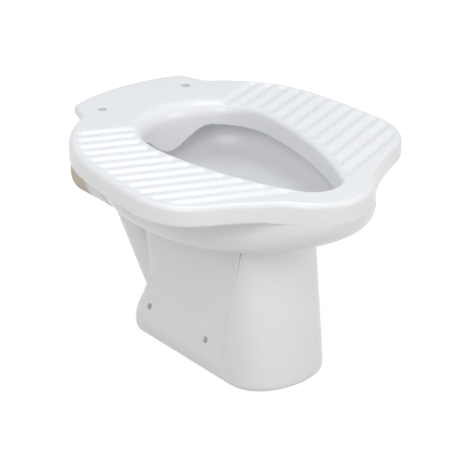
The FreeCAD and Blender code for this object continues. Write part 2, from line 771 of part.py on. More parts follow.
# trap: throat and seal bend, inclined riser, spigot
turn = math.radians(val("riser_angle"))
lean_sin = math.sin(turn)
lean_cos = math.cos(turn)
turn_text = "Sizes.riser_angle * 1 deg"
bend_end = (
    val("throat_y") + val("bend_radius") * (1 + lean_sin),
    val("bend_z") - val("bend_radius") * lean_cos,
)
bend_end_text = (
    "Sizes.throat_y + Sizes.bend_radius * (1 + sin(%s))" % turn_text,
    "Sizes.bend_z - Sizes.bend_radius * cos(%s)" % turn_text,
)


def throat_path(sketch):
    """Straight drop from the bowl and the seal bend, drawn in the middle plane."""
    y = val("throat_y")
    z = val("bend_z")
    bend = val("bend_radius")
    drop = sketch.addGeometry(Part.LineSegment(vec(y, floor_z), vec(y, z)))
    arc = sketch.addGeometry(arc_about((y + bend, z), bend, (y, z), bend_end))
    pin(sketch, drop, 1, ref("throat_y"), floor_level)
    pin(sketch, drop, 2, ref("throat_y"), ref("bend_z"))
    sketch.addConstraint(Sketcher.Constraint("Coincident", drop, 2, arc, 1))
    pin(sketch, arc, 2, *bend_end_text)
    bind(sketch, Sketcher.Constraint("Radius", arc, bend), ref("bend_radius"))


def riser_path(sketch):
    """Inclined run from the seal bend over the weir to the spigot."""
    bend = val("weir_radius")
    level = outlet_z
    meet = bend_end[0] + (level - bend_end[1]) / math.tan(turn)
    run = bend * math.tan(turn / 2)
    low = (meet - run * lean_cos, level - run * lean_sin)
    high = (meet + run, level)
    slope = sketch.addGeometry(Part.LineSegment(vec(*bend_end), vec(*low)))
    arc = sketch.addGeometry(arc_about((high[0], level - bend), bend, high, low))
    flat = sketch.addGeometry(Part.LineSegment(vec(*high), vec(val("horn_start_y"), level)))
    pin(sketch, slope, 1, *bend_end_text)
    sketch.addConstraint(Sketcher.Constraint("Tangent", slope, 2, arc, 2))
    sketch.addConstraint(Sketcher.Constraint("Tangent", arc, 1, flat, 1))
    bind(sketch, Sketcher.Constraint("Radius", arc, bend), ref("weir_radius"))
    bind(sketch, Sketcher.Constraint("Angle", -1, 1, slope, 1, turn), turn_text)
    pin(sketch, flat, 2, ref("horn_start_y"), outlet_level)


def ring(sketch, x, y, x_name, y_name, bore, wall):
    """Two circles with a common centre: a bore and the wall around it."""
    circle(sketch, x, y, val(bore), x_name, y_name, ref(bore))
    outer = ref(bore) + " + " + ref(wall)
    circle(sketch, x, y, val(bore) + val(wall), x_name, y_name, outer)


def pipe(body, name, kind, profile, spine):
    """Sweep of a profile along a path."""
    sweep = body.newObject("PartDesign::" + kind, name)
    sweep.Profile = profile
    sweep.Spine = (spine, ["Edge%d" % (i + 1) for i in range(spine.GeometryCount)])
    doc.recompute()
    return sweep


sump = new_body("sump")
sump_path = plane_sketch(sump, "throat_path", "YZ_Plane")
throat_path(sump_path)
sump_ring = plane_sketch(sump, "throat_ring", "XY_Plane", floor_level)
ring(sump_ring, 0, val("throat_y"), None, ref("throat_y"), "trap_bore", "trap_wall")
pipe(sump, "throat_pipe", "AdditivePipe", sump_ring, sump_path)
nodes["sump"] = sump

riser = new_body("trap_riser")
riser_line = plane_sketch(riser, "riser_path", "YZ_Plane")
riser_path(riser_line)
riser_ring = plane_sketch(riser, "riser_ring", "XZ_Plane", "-Sizes.horn_start_y")
ring(riser_ring, 0, outlet_z, None, outlet_level, "trap_bore", "trap_wall")
pipe(riser, "riser_pipe", "AdditivePipe", riser_ring, riser_line)
nodes["trap_riser"] = riser

horn = new_body("outlet_horn")
horn_ring = plane_sketch(horn, "horn_ring", "XZ_Plane", "-Sizes.horn_start_y")
ring(horn_ring, 0, outlet_z, None, outlet_level, "horn_bore", "horn_wall")
extrude(horn, "Pad", "horn_pad", horn_ring, "Sizes.horn_end_y - Sizes.horn_start_y", reverse=True)
round_edges(
    horn, "horn_end_round",
    lambda edge: edge.BoundBox.YLength < 1e-3 and abs(edge.BoundBox.YMin - val("horn_end_y")) < 1e-3,
    ref("horn_round"),
)
nodes["outlet_horn"] = horn

# flush inlet: short spigot that fits round the back of the tub
inlet = new_body("inlet_blank")
inlet_end = "(Sizes.deck_corner_y + Sizes.inlet_past_corner)"
inlet_ring = plane_sketch(inlet, "inlet_ring", "XZ_Plane", "-" + inlet_end)
ring(inlet_ring, 0, inlet_z, None, inlet_level, "inlet_bore", "inlet_wall")
extrude(inlet, "Pad", "inlet_pad", inlet_ring, inlet_end + " - Sizes.mouth_rear_radius")
inlet_seat = plane_sketch(inlet, "inlet_seat", "XY_Plane", inlet_level)
egg(inlet_seat, ["tub_offset"], ["inlet_seat_depth"])
through(inlet, "inlet_seat_cut", inlet_seat)
nodes["inlet_horn"] = cut("inlet_horn", inlet, tub)

# pedestal: rounded front column that leans back to the top


def column_section(sketch, half, tip, front, corner, rear):
    """Plan of the column: bowed front, two round corners, straight back."""
    names = (half, tip, front, corner, rear)
    wide, ahead, bow, bend, back = [number for number, _ in names]
    wide_t, ahead_t, bow_t, bend_t, back_t = [expression for _, expression in names]
    centre = (0, bow - ahead)
    inset = wide - bend
    middle = (inset, centre[1] - math.sqrt((bow - bend) ** 2 - inset ** 2))
    length = bow - bend
    touch = (inset / length * bow, centre[1] + (middle[1] - centre[1]) / length * bow)
    side = (wide, middle[1])
    heel = (wide, -back)
    base = sketch.addGeometry(Part.LineSegment(vec(*heel), vec(*mirrored(heel))))
    left = sketch.addGeometry(Part.LineSegment(vec(*mirrored(heel)), vec(*mirrored(side))))
    left_bend = sketch.addGeometry(arc_about(mirrored(middle), bend, mirrored(side), mirrored(touch)))
    nose = sketch.addGeometry(arc_about(centre, bow, mirrored(touch), touch))
    right_bend = sketch.addGeometry(arc_about(middle, bend, touch, side))
    right = sketch.addGeometry(Part.LineSegment(vec(*side), vec(*heel)))
    sketch.addConstraint(Sketcher.Constraint("Coincident", right, 2, base, 1))
    sketch.addConstraint(Sketcher.Constraint("Coincident", base, 2, left, 1))
    chain = (left, left_bend, nose, right_bend, right)
    for first, second in zip(chain, chain[1:]):
        sketch.addConstraint(Sketcher.Constraint("Tangent", first, 2, second, 1))
    sketch.addConstraint(Sketcher.Constraint("Vertical", left))
    sketch.addConstraint(Sketcher.Constraint("Vertical", right))
    pin(sketch, base, 1, wide_t, back_t)
    pin(sketch, base, 2, wide_t, back_t)
    pin(sketch, nose, 3, None, "%s - %s" % ((ahead_t, bow_t) if ahead > bow else (bow_t, ahead_t)))
    bind(sketch, Sketcher.Constraint("Radius", nose, bow), bow_t)
    bind(sketch, Sketcher.Constraint("Radius", left_bend, bend), bend_t)
    bind(sketch, Sketcher.Constraint("Radius", right_bend, bend), bend_t)


def named(name):
    """Number and expression of one size."""
    return val(name), ref(name)


def less_wall(name):
    """Number and expression of one size less the column's wall."""
    return val(name) - val("column_wall"), "(%s - Sizes.column_wall)" % ref(name)


def crease(body, name):
    """Cut away all that lies in front of the column's back plane."""
    sketch = plane_sketch(body, name, "YZ_Plane")
    ahead = 2 * val("mouth_nose_centre")
    points = (
        (-val("column_base_crease"), 0),
        (-val("column_top_crease"), loft_z),
        (-ahead, loft_z),
        (-ahead, 0),
    )
    polygon(sketch, points, (
        (ref("column_base_crease"), None),
        (ref("column_top_crease"), loft_level),
        ("2 * Sizes.mouth_nose_centre", loft_level),
        ("2 * Sizes.mouth_nose_centre", None),
    ))
    return through(body, name + "_cut", sketch)


def loft(body, name, kind, low, high):
    """Ruled loft between two plans."""
    feature = body.newObject("PartDesign::" + kind, name)
    feature.Profile = low
    feature.Sections = [high]
    feature.Ruled = True
    doc.recompute()
    return feature


def under_tub(body, name):
    """Cut away all that lies above the tub's underside."""
    sketch = plane_sketch(body, name, "YZ_Plane")
    floor_profile(sketch, above=True)
    return through(body, name + "_cut", sketch)


column = new_body("pedestal_front")
base_plan = plane_sketch(column, "column_base", "XY_Plane")
column_section(
    base_plan, named("foot_half_width"), named("column_base_tip"), named("column_base_front"),
    named("column_base_corner"), named("column_base_crease"),
)
top_plan = plane_sketch(column, "column_top", "XY_Plane", loft_level)
column_section(
    top_plan, named("column_top_x"), named("column_top_tip"), named("column_top_front"),
    named("column_top_corner"), named("column_top_crease"),
)
loft(column, "column_solid", "AdditiveLoft", base_plan, top_plan)
inner_base = plane_sketch(column, "column_inner_base", "XY_Plane")
column_section(
    inner_base, named("side_wall_inner"), less_wall("column_base_tip"), less_wall("column_base_front"),
    named("column_inner_base_corner"), named("tub_flat_front"),
)
inner_top = plane_sketch(column, "column_inner_top", "XY_Plane", loft_level)
column_section(
    inner_top, named("side_wall_inner"), less_wall("column_top_tip"), less_wall("column_top_front"),
    named("column_inner_top_corner"), named("tub_flat_front"),
)
loft(column, "column_hollow", "SubtractiveLoft", inner_base, inner_top)
under_tub(column, "column_head")
nodes["pedestal_front"] = column

# recessed side walls between the column and the trap
for label, offset in (
    ("side_wall_right", ref("side_wall_inner")),
    ("side_wall_left", "-Sizes.side_wall_outer"),
):
    panel = new_body(label)
    panel_side = plane_sketch(panel, label + "_outline", "YZ_Plane", offset)
    polygon(panel_side, (
        (-val("column_top_crease"), 0),
        (val("side_wall_rear_base_y"), 0),
        (val("side_wall_rear_base_y"), val("foot_top")),
        (val("side_wall_rear_top_y"), loft_z),
        (-val("column_top_crease"), loft_z),
    ), (
        (ref("column_top_crease"), None),
        (ref("side_wall_rear_base_y"), None),
        (ref("side_wall_rear_base_y"), ref("foot_top")),
        (ref("side_wall_rear_top_y"), loft_level),
        (ref("column_top_crease"), loft_level),
    ))
    extrude(panel, "Pad", label + "_pad", panel_side, "Sizes.side_wall_outer - Sizes.side_wall_inner")
    crease(panel, label + "_front")
    under_tub(panel, label + "_head")
    nodes[label] = panel

# foot: flange with a sloping shoulder and four screw holes
foot = new_body("foot")


def foot_plan(name, height):
    """Plan of the foot: straight sides, two round rear corners."""
    sketch = plane_sketch(foot, name, "XY_Plane", height)
    half = val("foot_half_width")
    rear = val("foot_rear_y")
    bend = val("foot_corner")
    ahead = 2 * val("foot_half_width")
    front = sketch.addGeometry(Part.LineSegment(vec(-half, -ahead), vec(half, -ahead)))
    right = sketch.addGeometry(Part.LineSegment(vec(half, -ahead), vec(half, rear - bend)))
    start = (half, rear - bend)
    stop = (half - bend, rear)
    middle = (half - bend, rear - bend)
    right_bend = sketch.addGeometry(arc_about(middle, bend, start, stop))
    back = sketch.addGeometry(Part.LineSegment(vec(*stop), vec(*mirrored(stop))))
    left_bend = sketch.addGeometry(arc_about(mirrored(middle), bend, mirrored(stop), mirrored(start)))
    left = sketch.addGeometry(Part.LineSegment(vec(-half, rear - bend), vec(-half, -ahead)))
    sketch.addConstraint(Sketcher.Constraint("Coincident", front, 2, right, 1))
    sketch.addConstraint(Sketcher.Constraint("Coincident", left, 2, front, 1))
    chain = (right, right_bend, back, left_bend, left)
    for first, second in zip(chain, chain[1:]):
        sketch.addConstraint(Sketcher.Constraint("Tangent", first, 2, second, 1))
    pin(sketch, front, 1, ref("foot_half_width"), "2 * Sizes.foot_half_width")
    pin(sketch, front, 2, ref("foot_half_width"), "2 * Sizes.foot_half_width")
    sketch.addConstraint(Sketcher.Constraint("Vertical", right))
    sketch.addConstraint(Sketcher.Constraint("Vertical", left))
    for arc in (right_bend, left_bend):
        bind(sketch, Sketcher.Constraint("Radius", arc, bend), ref("foot_corner"))
    bind(sketch, Sketcher.Constraint("DistanceY", -1, 1, back, 1, rear), ref("foot_rear_y"))
    return sketch


extrude(foot, "Pad", "foot_band_pad", foot_plan("foot_band_plan", None), ref("foot_band"))
shoulder = extrude(
    foot, "Pad", "foot_shoulder", foot_plan("foot_shoulder_plan", ref("foot_band")),
    "Sizes.foot_top - Sizes.foot_band",
)
shoulder.setExpression("TaperAngle", "-Sizes.foot_slope_angle * 1 deg")
doc.recompute()
foot_hollow = plane_sketch(foot, "foot_hollow_plan", "XY_Plane")
polygon(foot_hollow, (
    (-val("side_wall_outer"), -2 * val("foot_half_width")),
    (val("side_wall_outer"), -2 * val("foot_half_width")),
    (val("side_wall_outer"), val("side_wall_rear_base_y")),
    (-val("side_wall_outer"), val("side_wall_rear_base_y")),
), (
    (ref("side_wall_outer"), "2 * Sizes.foot_half_width"),
    (ref("side_wall_outer"), "2 * Sizes.foot_half_width"),
    (ref("side_wall_outer"), ref("side_wall_rear_base_y")),
    (ref("side_wall_outer"), ref("side_wall_rear_base_y")),
))
through(foot, "foot_hollow", foot_hollow)
crease(foot, "foot_front")
for name, draw, role, height, x, y, y_name in (
    ("throat_saddle", throat_path, "XY_Plane", floor_level, 0, val("throat_y"), ref("throat_y")),
    ("riser_saddle", riser_path, "XZ_Plane", "-Sizes.horn_start_y", 0, outlet_z, outlet_level),
):
    saddle_path = plane_sketch(foot, name + "_path", "YZ_Plane")
    draw(saddle_path)
    saddle_round = plane_sketch(foot, name + "_round", role, height)
    outer_text = "Sizes.trap_bore + Sizes.trap_wall"
    circle(saddle_round, x, y, val("trap_bore") + val("trap_wall"), None, y_name, outer_text)
    pipe(foot, name, "SubtractivePipe", saddle_round, saddle_path)
foot_holes = plane_sketch(foot, "foot_hole_plan", "XY_Plane")
for sign in (1, -1):
    for way, y_name in ((-1, "foot_hole_front_y"), (1, "foot_hole_rear_y")):
        circle(
            foot_holes, sign * val("foot_hole_x"), way * val(y_name), val("foot_hole_radius"),
            ref("foot_hole_x"), ref(y_name), ref("foot_hole_radius"),
        )
through(foot, "foot_screw_holes", foot_holes)
nodes["foot"] = foot

# every object must be sound before any file is written
doc.recompute()
for item in doc.Objects:
    if "Invalid" in item.State or "Error" in item.State:
        raise RuntimeError("unsound object: " + item.Name)
for label, item in nodes.items():
    item.Label = label
    if item.Shape.isNull() or not item.Shape.isValid() or len(item.Shape.Solids) != 1:
        raise RuntimeError("unsound shape: " + label)
for label, item in nodes.items():
    item.Shape.exportStep("parts/" + label + ".step")
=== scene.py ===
import logging
import math
from dataclasses import dataclass
from enum import Enum
from typing import Dict, List, Tuple, Union

import bmesh
import bpy
import numpy as np
from mathutils import Matrix, Vector


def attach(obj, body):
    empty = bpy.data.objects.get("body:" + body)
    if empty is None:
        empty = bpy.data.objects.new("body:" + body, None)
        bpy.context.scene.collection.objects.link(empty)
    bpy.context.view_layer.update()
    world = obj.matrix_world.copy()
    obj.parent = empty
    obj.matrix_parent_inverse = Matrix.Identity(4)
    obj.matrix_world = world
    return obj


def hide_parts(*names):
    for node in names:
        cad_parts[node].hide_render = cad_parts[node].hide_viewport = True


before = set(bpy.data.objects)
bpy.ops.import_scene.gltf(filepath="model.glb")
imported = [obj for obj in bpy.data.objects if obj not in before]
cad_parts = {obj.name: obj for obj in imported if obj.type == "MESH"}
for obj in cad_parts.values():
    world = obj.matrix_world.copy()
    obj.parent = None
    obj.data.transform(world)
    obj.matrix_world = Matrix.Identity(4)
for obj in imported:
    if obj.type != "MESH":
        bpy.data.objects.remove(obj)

Array = np.ndarray
Material = bpy.types.Material
Node = bpy.types.Node
Tree = bpy.types.NodeTree
Pair = Tuple[float, float]
Triple = Tuple[float, float, float]
Counts = Tuple[int, ...]
Row = Tuple[Array, Union[float, Array]]

LOG = logging.getLogger("closet")
MM = 0.001
ROOT = "root"
UP = (0.0, 0.0, 1.0)
HORN = "outlet_horn"
FAN_Y = -60.0
FINE = 4


class Slot(Enum):
    """Material slots of the record."""

    CHINA = "china"
    BISCUIT = "biscuit"


@dataclass(frozen=True)
class Glaze:
    """White glaze over china: soft cloudiness, fine orange-peel ripple, thin clear coat."""

    name: str = "china_glaze"
    colour: Triple = (0.84, 0.845, 0.855)
    shade: Triple = (0.81, 0.815, 0.825)
    roughness: float = 0.28
    coat: float = 0.10
    coat_gloss: float = 3.0
    ripple: float = 0.04
    cloud_scale: float = 7.0
    ripple_scale: float = 160.0
    ripple_height: float = 0.0006


@dataclass(frozen=True)
class Biscuit:
    """Unglazed fired clay: tan, grainy and dull, stained darker in places."""

    name: str = "biscuit_clay"
    colour: Triple = (0.74, 0.66, 0.54)
    stain: Triple = (0.62, 0.58, 0.46)
    stain_scale: float = 14.0
    roughness: float = 0.78
    grain_scale: float = 420.0
    grain: float = 0.25
    grain_height: float = 0.0008
    bare_from: Pair = (0.270, 0.284)


def new_material(name: str) -> Tuple[Material, Tree, Node]:
    """Plain material.

    Args:
        name: Material name.

    Returns:
        The material, its node tree and its shader node.
    """
    material = bpy.data.materials.new(name)
    material.use_nodes = True
    return material, material.node_tree, material.node_tree.nodes["Principled BSDF"]


def paint(thing: bpy.types.Object, material: Material) -> None:
    """Give an object one material."""
    thing.data.materials.clear()
    thing.data.materials.append(material)


def set_inputs(node: Node, values: Dict[str, object]) -> None:
    """Set inputs of a node by name."""
    for name, value in values.items():
        node.inputs[name].default_value = value


def add_node(tree: Tree, kind: str, values: Dict[str, object]) -> Node:
    """New shader node.

    Args:
        tree: Node tree.
        kind: Type of the node, after ShaderNode.
        values: Input values by name.

    Returns:
        The node.
    """
    node = tree.nodes.new("ShaderNode" + kind)
    set_inputs(node, values)
    return node


def wire(tree: Tree, *links: Tuple) -> None:
    """Link outputs to inputs, each link given as node, output, node and input."""
    for source, leave, target, enter in links:
        tree.links.new(source.outputs[leave], target.inputs[enter])


class Finish:
    """Builds the procedural materials."""

    cloud_detail = 3.0
    ripple_detail = 2.0

    def __init__(self) -> None:
        """Prepare the shared node group, which mixes two colours by slow noise in object space."""
        tree = bpy.data.node_groups.new("cloud", "ShaderNodeTree")
        for name, way, kind in (("First", "INPUT", "Color"), ("Second", "INPUT", "Color"),
                                ("Scale", "INPUT", "Float"), ("Color", "OUTPUT", "Color")):
            tree.interface.new_socket(name, in_out=way, socket_type="NodeSocket" + kind)
        entry = tree.nodes.new("NodeGroupInput")
        leave = tree.nodes.new("NodeGroupOutput")
        place = add_node(tree, "TexCoord", {})
        noise = add_node(tree, "TexNoise", {"Detail": self.cloud_detail})
        mix = add_node(tree, "Mix", {})
        mix.data_type = "RGBA"
        wire(tree, (place, "Object", noise, "Vector"), (entry, "Scale", noise, "Scale"),
             (noise, "Fac", mix, "Factor"), (entry, "First", mix, "A"), (entry, "Second", mix, "B"),
             (mix, "Result", leave, "Color"))
        self.cloud = tree

    def _clouds(self, tree: Tree, first: Triple, second: Triple, scale: float) -> Node:
        """Clouds of two colours.

        Args:
            tree: Material node tree.
            first: One colour.
            second: The other colour.
            scale: Noise scale of the clouds.

        Returns:
            The node, with the output Color.
        """
        group = add_node(tree, "Group", {})
        group.node_tree = self.cloud
        set_inputs(group, {"First": (*first, 1.0), "Second": (*second, 1.0), "Scale": scale})
        return group

    def _ripple(self, tree: Tree, scale: float, strength: float, height: float) -> None:
        """Fine bump from noise in object space, on the material's shader.

        Args:
            tree: Material node tree.
            scale: Noise scale.
            strength: Bump strength.
            height: Bump distance in metres.
        """
        place = add_node(tree, "TexCoord", {})
        noise = add_node(tree, "TexNoise", {"Scale": scale, "Detail": self.ripple_detail})
        bump = add_node(tree, "Bump", {"Strength": strength, "Distance": height})
        wire(tree, (place, "Object", noise, "Vector"), (noise, "Fac", bump, "Height"),
             (bump, "Normal", tree.nodes["Principled BSDF"], "Normal"))

    def glaze(self, look: Glaze) -> Material:
        """Glazed china.

        Args:
            look: Values of the glaze.

        Returns:
            The material.
        """
        material, tree, shader = new_material(look.name)
        cloud = self._clouds(tree, look.colour, look.shade, look.cloud_scale)
        wire(tree, (cloud, "Color", shader, "Base Color"))
        set_inputs(shader, {"Roughness": look.roughness, "Coat Weight": look.coat,
                            "Coat Roughness": look.roughness / look.coat_gloss})
        self._ripple(tree, look.ripple_scale, look.ripple, look.ripple_height)
        return material

    def biscuit(self, look: Biscuit, glaze: Glaze) -> Material:
        """Clay of the outlet: glazed near the bowl, bare at its end.

        Args:
            look: Values of the clay.
            glaze: Values of the glaze.

        Returns:
            The material.
        """
        material, tree, shader = new_material(look.name)
        bare = self._clouds(tree, look.colour, look.stain, look.stain_scale)
        coated = self._clouds(tree, glaze.colour, glaze.shade, glaze.cloud_scale)
        place = add_node(tree, "TexCoord", {})
        split = add_node(tree, "SeparateXYZ", {})
        share = add_node(tree, "MapRange", {"From Min": look.bare_from[0], "From Max": look.bare_from[1]})
        dull = add_node(tree, "MapRange", {"To Min": glaze.roughness, "To Max": look.roughness})
        mix = add_node(tree, "Mix", {})
        mix.data_type = "RGBA"
        wire(tree, (place, "Object", split, "Vector"), (split, "Y", share, "Value"),
             (share, "Result", mix, "Factor"), (share, "Result", dull, "Value"),
             (coated, "Color", mix, "A"), (bare, "Color", mix, "B"),
             (mix, "Result", shader, "Base Color"), (dull, "Result", shader, "Roughness"))
        self._ripple(tree, look.grain_scale, look.grain, look.grain_height)
        return material


@dataclass
class Studio:
    """Camera, soft lights and pale floor."""

    camera_at: Triple = (-1.861624, -2.360489, 1.605893)
    forward: Triple = (0.566756, 0.702470, -0.430492)
    right: Triple = (0.779184, -0.626788, 0.003037)
    focal_px: float = 2147.87
    image_px: float = 474.0
    sensor_mm: float = 36.0
    nearest: float = 0.05
    floor_half: float = 6.0
    floor_bounce: Triple = (0.58, 0.57, 0.56)
    floor_roughness: float = 0.9
    floor_matt: float = 0.35
    floor_glow: float = 0.78
    sky: Triple = (0.98, 0.99, 1.0)
    sky_strength: float = 0.60
    aim: Triple = (0.0, -0.05, 0.25)
    lamps: Tuple[Tuple[str, Triple, float, float, Triple], ...] = (
        ("overhead", (0.0, 0.15, 2.4), 1.0, 11.0, (0.90, 0.95, 1.0)),
        ("front", (1.0, -2.3, 1.5), 1.4, 16.0, (1.0, 0.99, 0.98)),
        ("left", (-1.8, -1.0, 1.9), 1.2, 14.0, (1.0, 0.99, 0.98)),
        ("low", (-2.2, -1.4, 0.5), 1.0, 3.0, (1.0, 0.99, 0.98)),
    )

    def camera(self) -> None:
        """Put the camera where the photograph was taken from."""
        data = bpy.data.cameras.new("camera")
        data.sensor_width = self.sensor_mm
        data.lens = self.sensor_mm * self.focal_px / self.image_px
        data.clip_start = self.nearest
        eye = bpy.data.objects.new("camera", data)
        ahead = Vector(self.forward).normalized()
        side = Vector(self.right)
        side = (side - ahead * side.dot(ahead)).normalized()
        above = side.cross(ahead)
        turn = Matrix((side, above, -ahead)).transposed().to_4x4()
        eye.matrix_world = Matrix.Translation(self.camera_at) @ turn
        bpy.context.scene.collection.objects.link(eye)
        bpy.context.scene.camera = eye

    def floor(self) -> None:
        """Wide pale floor that reads as white to the camera and keeps the object's shadow."""
        mesh = bpy.data.meshes.new("floor")
        half = self.floor_half
        corners = [(-half, -half, 0), (half, -half, 0), (half, half, 0), (-half, half, 0)]
        mesh.from_pydata(corners, [], [(0, 1, 2, 3)])
        plane = bpy.data.objects.new("floor", mesh)
        bpy.context.scene.collection.objects.link(plane)
        material, tree, bounce = new_material("floor_white")
        set_inputs(bounce, {"Base Color": (*self.floor_bounce, 1.0), "Roughness": self.floor_roughness})
        matt = add_node(tree, "BsdfDiffuse", {"Color": (*[self.floor_matt] * 3, 1.0)})
        glow = add_node(tree, "Emission", {"Strength": self.floor_glow})
        seen = add_node(tree, "AddShader", {})
        path = add_node(tree, "LightPath", {})
        either = add_node(tree, "Math", {})
        either.operation = "MAXIMUM"
        mix = add_node(tree, "MixShader", {})
        wire(tree, (matt, "BSDF", seen, 0), (glow, "Emission", seen, 1),
             (path, "Is Camera Ray", either, 0), (path, "Is Glossy Ray", either, 1),
             (either, "Value", mix, "Fac"), (bounce, "BSDF", mix, 1), (seen, "Shader", mix, 2),
             (mix, "Shader", tree.nodes["Material Output"], "Surface"))
        mesh.materials.append(material)

    def lights(self) -> None:
        """Even surround and soft lamps overhead, front right, left and low left."""
        for name, at, size, power, tint in self.lamps:
            data = bpy.data.lights.new(name, "AREA")
            data.shape, data.size, data.energy, data.color = "DISK", size, power, tint
            lamp = bpy.data.objects.new(name, data)
            aim = Vector(self.aim) - Vector(at)
            lamp.matrix_world = Matrix.Translation(at) @ aim.to_track_quat("-Z", "Y").to_matrix().to_4x4()
            bpy.context.scene.collection.objects.link(lamp)
        world = bpy.data.worlds.new("surround")
        bpy.context.scene.world = world
        world.use_nodes = True
        back = world.node_tree.nodes["Background"]
        set_inputs(back, {"Color": (*self.sky, 1.0), "Strength": self.sky_strength})

    def build(self) -> None:
        """Set the view transform and make the stage."""
        bpy.context.scene.view_settings.view_transform = "Standard"
        self.camera()
        self.floor()
        self.lights()


def smooth_step(value: Array, low: float, high: float) -> Array:
    """Cubic ramp from 0 at low to 1 at high."""
    t = np.clip((value - low) / (high - low), 0.0, 1.0)
    return t * t * (3.0 - 2.0 * t)


def quarter(count: int) -> Array:
    """Quarter turn of a rounded edge, 1 - sin a and 1 - cos a for a from 0 to a right angle.

    Args:
        count: Number of steps.

    Returns:
        Pairs in rows, from (1, 0) to (0, 1), as shares of the edge's radius.
    """
    angle = np.linspace(0, math.pi / 2, count)
    return np.column_stack([1 - np.sin(angle), 1 - np.cos(angle)])


def plan_points(line: Array) -> Array:
    """Complex numbers as points in rows."""
    return np.stack([line.real, line.imag], 1)


def mirrored(right: Array) -> Array:
    """Right half of a plan, followed back by its mirror image, with the middle point once."""
    return np.concatenate([right, -right.conjugate()[::-1][1:]])


def smooth_loop(points: Array, count: int, spread: float) -> Array:
    """Closed curve resampled evenly and rounded by a Gaussian of the arc length.

    Args:
        points: Closed polyline without its repeated end.
        count: Number of points wanted.
        spread: Standard deviation of the rounding, in the points' unit.

    Returns:
        The rounded curve.
    """
    closed = np.vstack([points, points[:1]])
    run = np.concatenate([[0.0], np.cumsum(np.linalg.norm(np.diff(closed, axis=0), axis=1))])
    even = np.linspace(0.0, run[-1], count, endpoint=False)
    line = np.stack([np.interp(even, run, closed[:, k]) for k in (0, 1)], 1)
    if spread <= 0:
        return line
    wave = np.fft.fftfreq(count, run[-1] / count)
    damp = np.exp(-2.0 * (math.pi * wave * spread) ** 2)
    return np.real(np.fft.ifft(np.fft.fft(line, axis=0) * damp[:, None], axis=0))


def drawn_in(loop: Array, distance: float) -> Array:
    """Counter-clockwise closed curve drawn in along its normals, p + d n, and resampled evenly.

    Args:
        loop: Points of the curve.
        distance: How far it is drawn in.

    Returns:
        The new curve, with as many points.
    """
    along = np.roll(loop, -1, 0) - np.roll(loop, 1, 0)
    along /= np.linalg.norm(along, axis=1, keepdims=True)
    normal = np.stack([-along[:, 1], along[:, 0]], 1)
    return smooth_loop(loop + normal * distance, len(loop), 0.0)


class Fan:
    """Even rays about a centre, at which closed curves are read so that one index runs straight out."""

    def __init__(self, y: float, count: int) -> None:
        """Lay out the rays.

        Args:
            y: Place of the centre on the middle plane.
            count: Number of rays.
        """
        self.count = count
        self.centre = np.array([0.0, y])
        self.angle = np.linspace(-math.pi, math.pi, count, endpoint=False)
        self.rays = np.stack([np.cos(self.angle), np.sin(self.angle)], 1)

    def ring(self, reach: Union[float, Array]) -> Array:
        """Points at a reach from the centre, c + reach (cos a, sin a)."""
        return self.centre + self.rays * np.broadcast_to(reach, self.count)[:, None]

    def reach(self, loop: Array) -> Array:
        """Reach of a star-shaped closed curve along each ray.

        Args:
            loop: Points of the curve.

        Returns:
            One distance from the centre per ray.
        """
        rel = loop - self.centre
        theta = np.arctan2(rel[:, 1], rel[:, 0])
        order = np.argsort(theta)
        return np.interp(self.angle, theta[order], np.linalg.norm(rel, axis=1)[order], period=2 * math.pi)

    def read(self, loop: Array) -> Array:
        """Points where a star-shaped closed curve crosses the rays."""
        return self.ring(self.reach(loop))

    def stack(self, rows: List[Row]) -> Array:
        """Plans and their heights as one grid of points (ray, row, 3)."""
        return np.stack([np.column_stack([plan, np.broadcast_to(z, self.count)]) for plan, z in rows], 1)


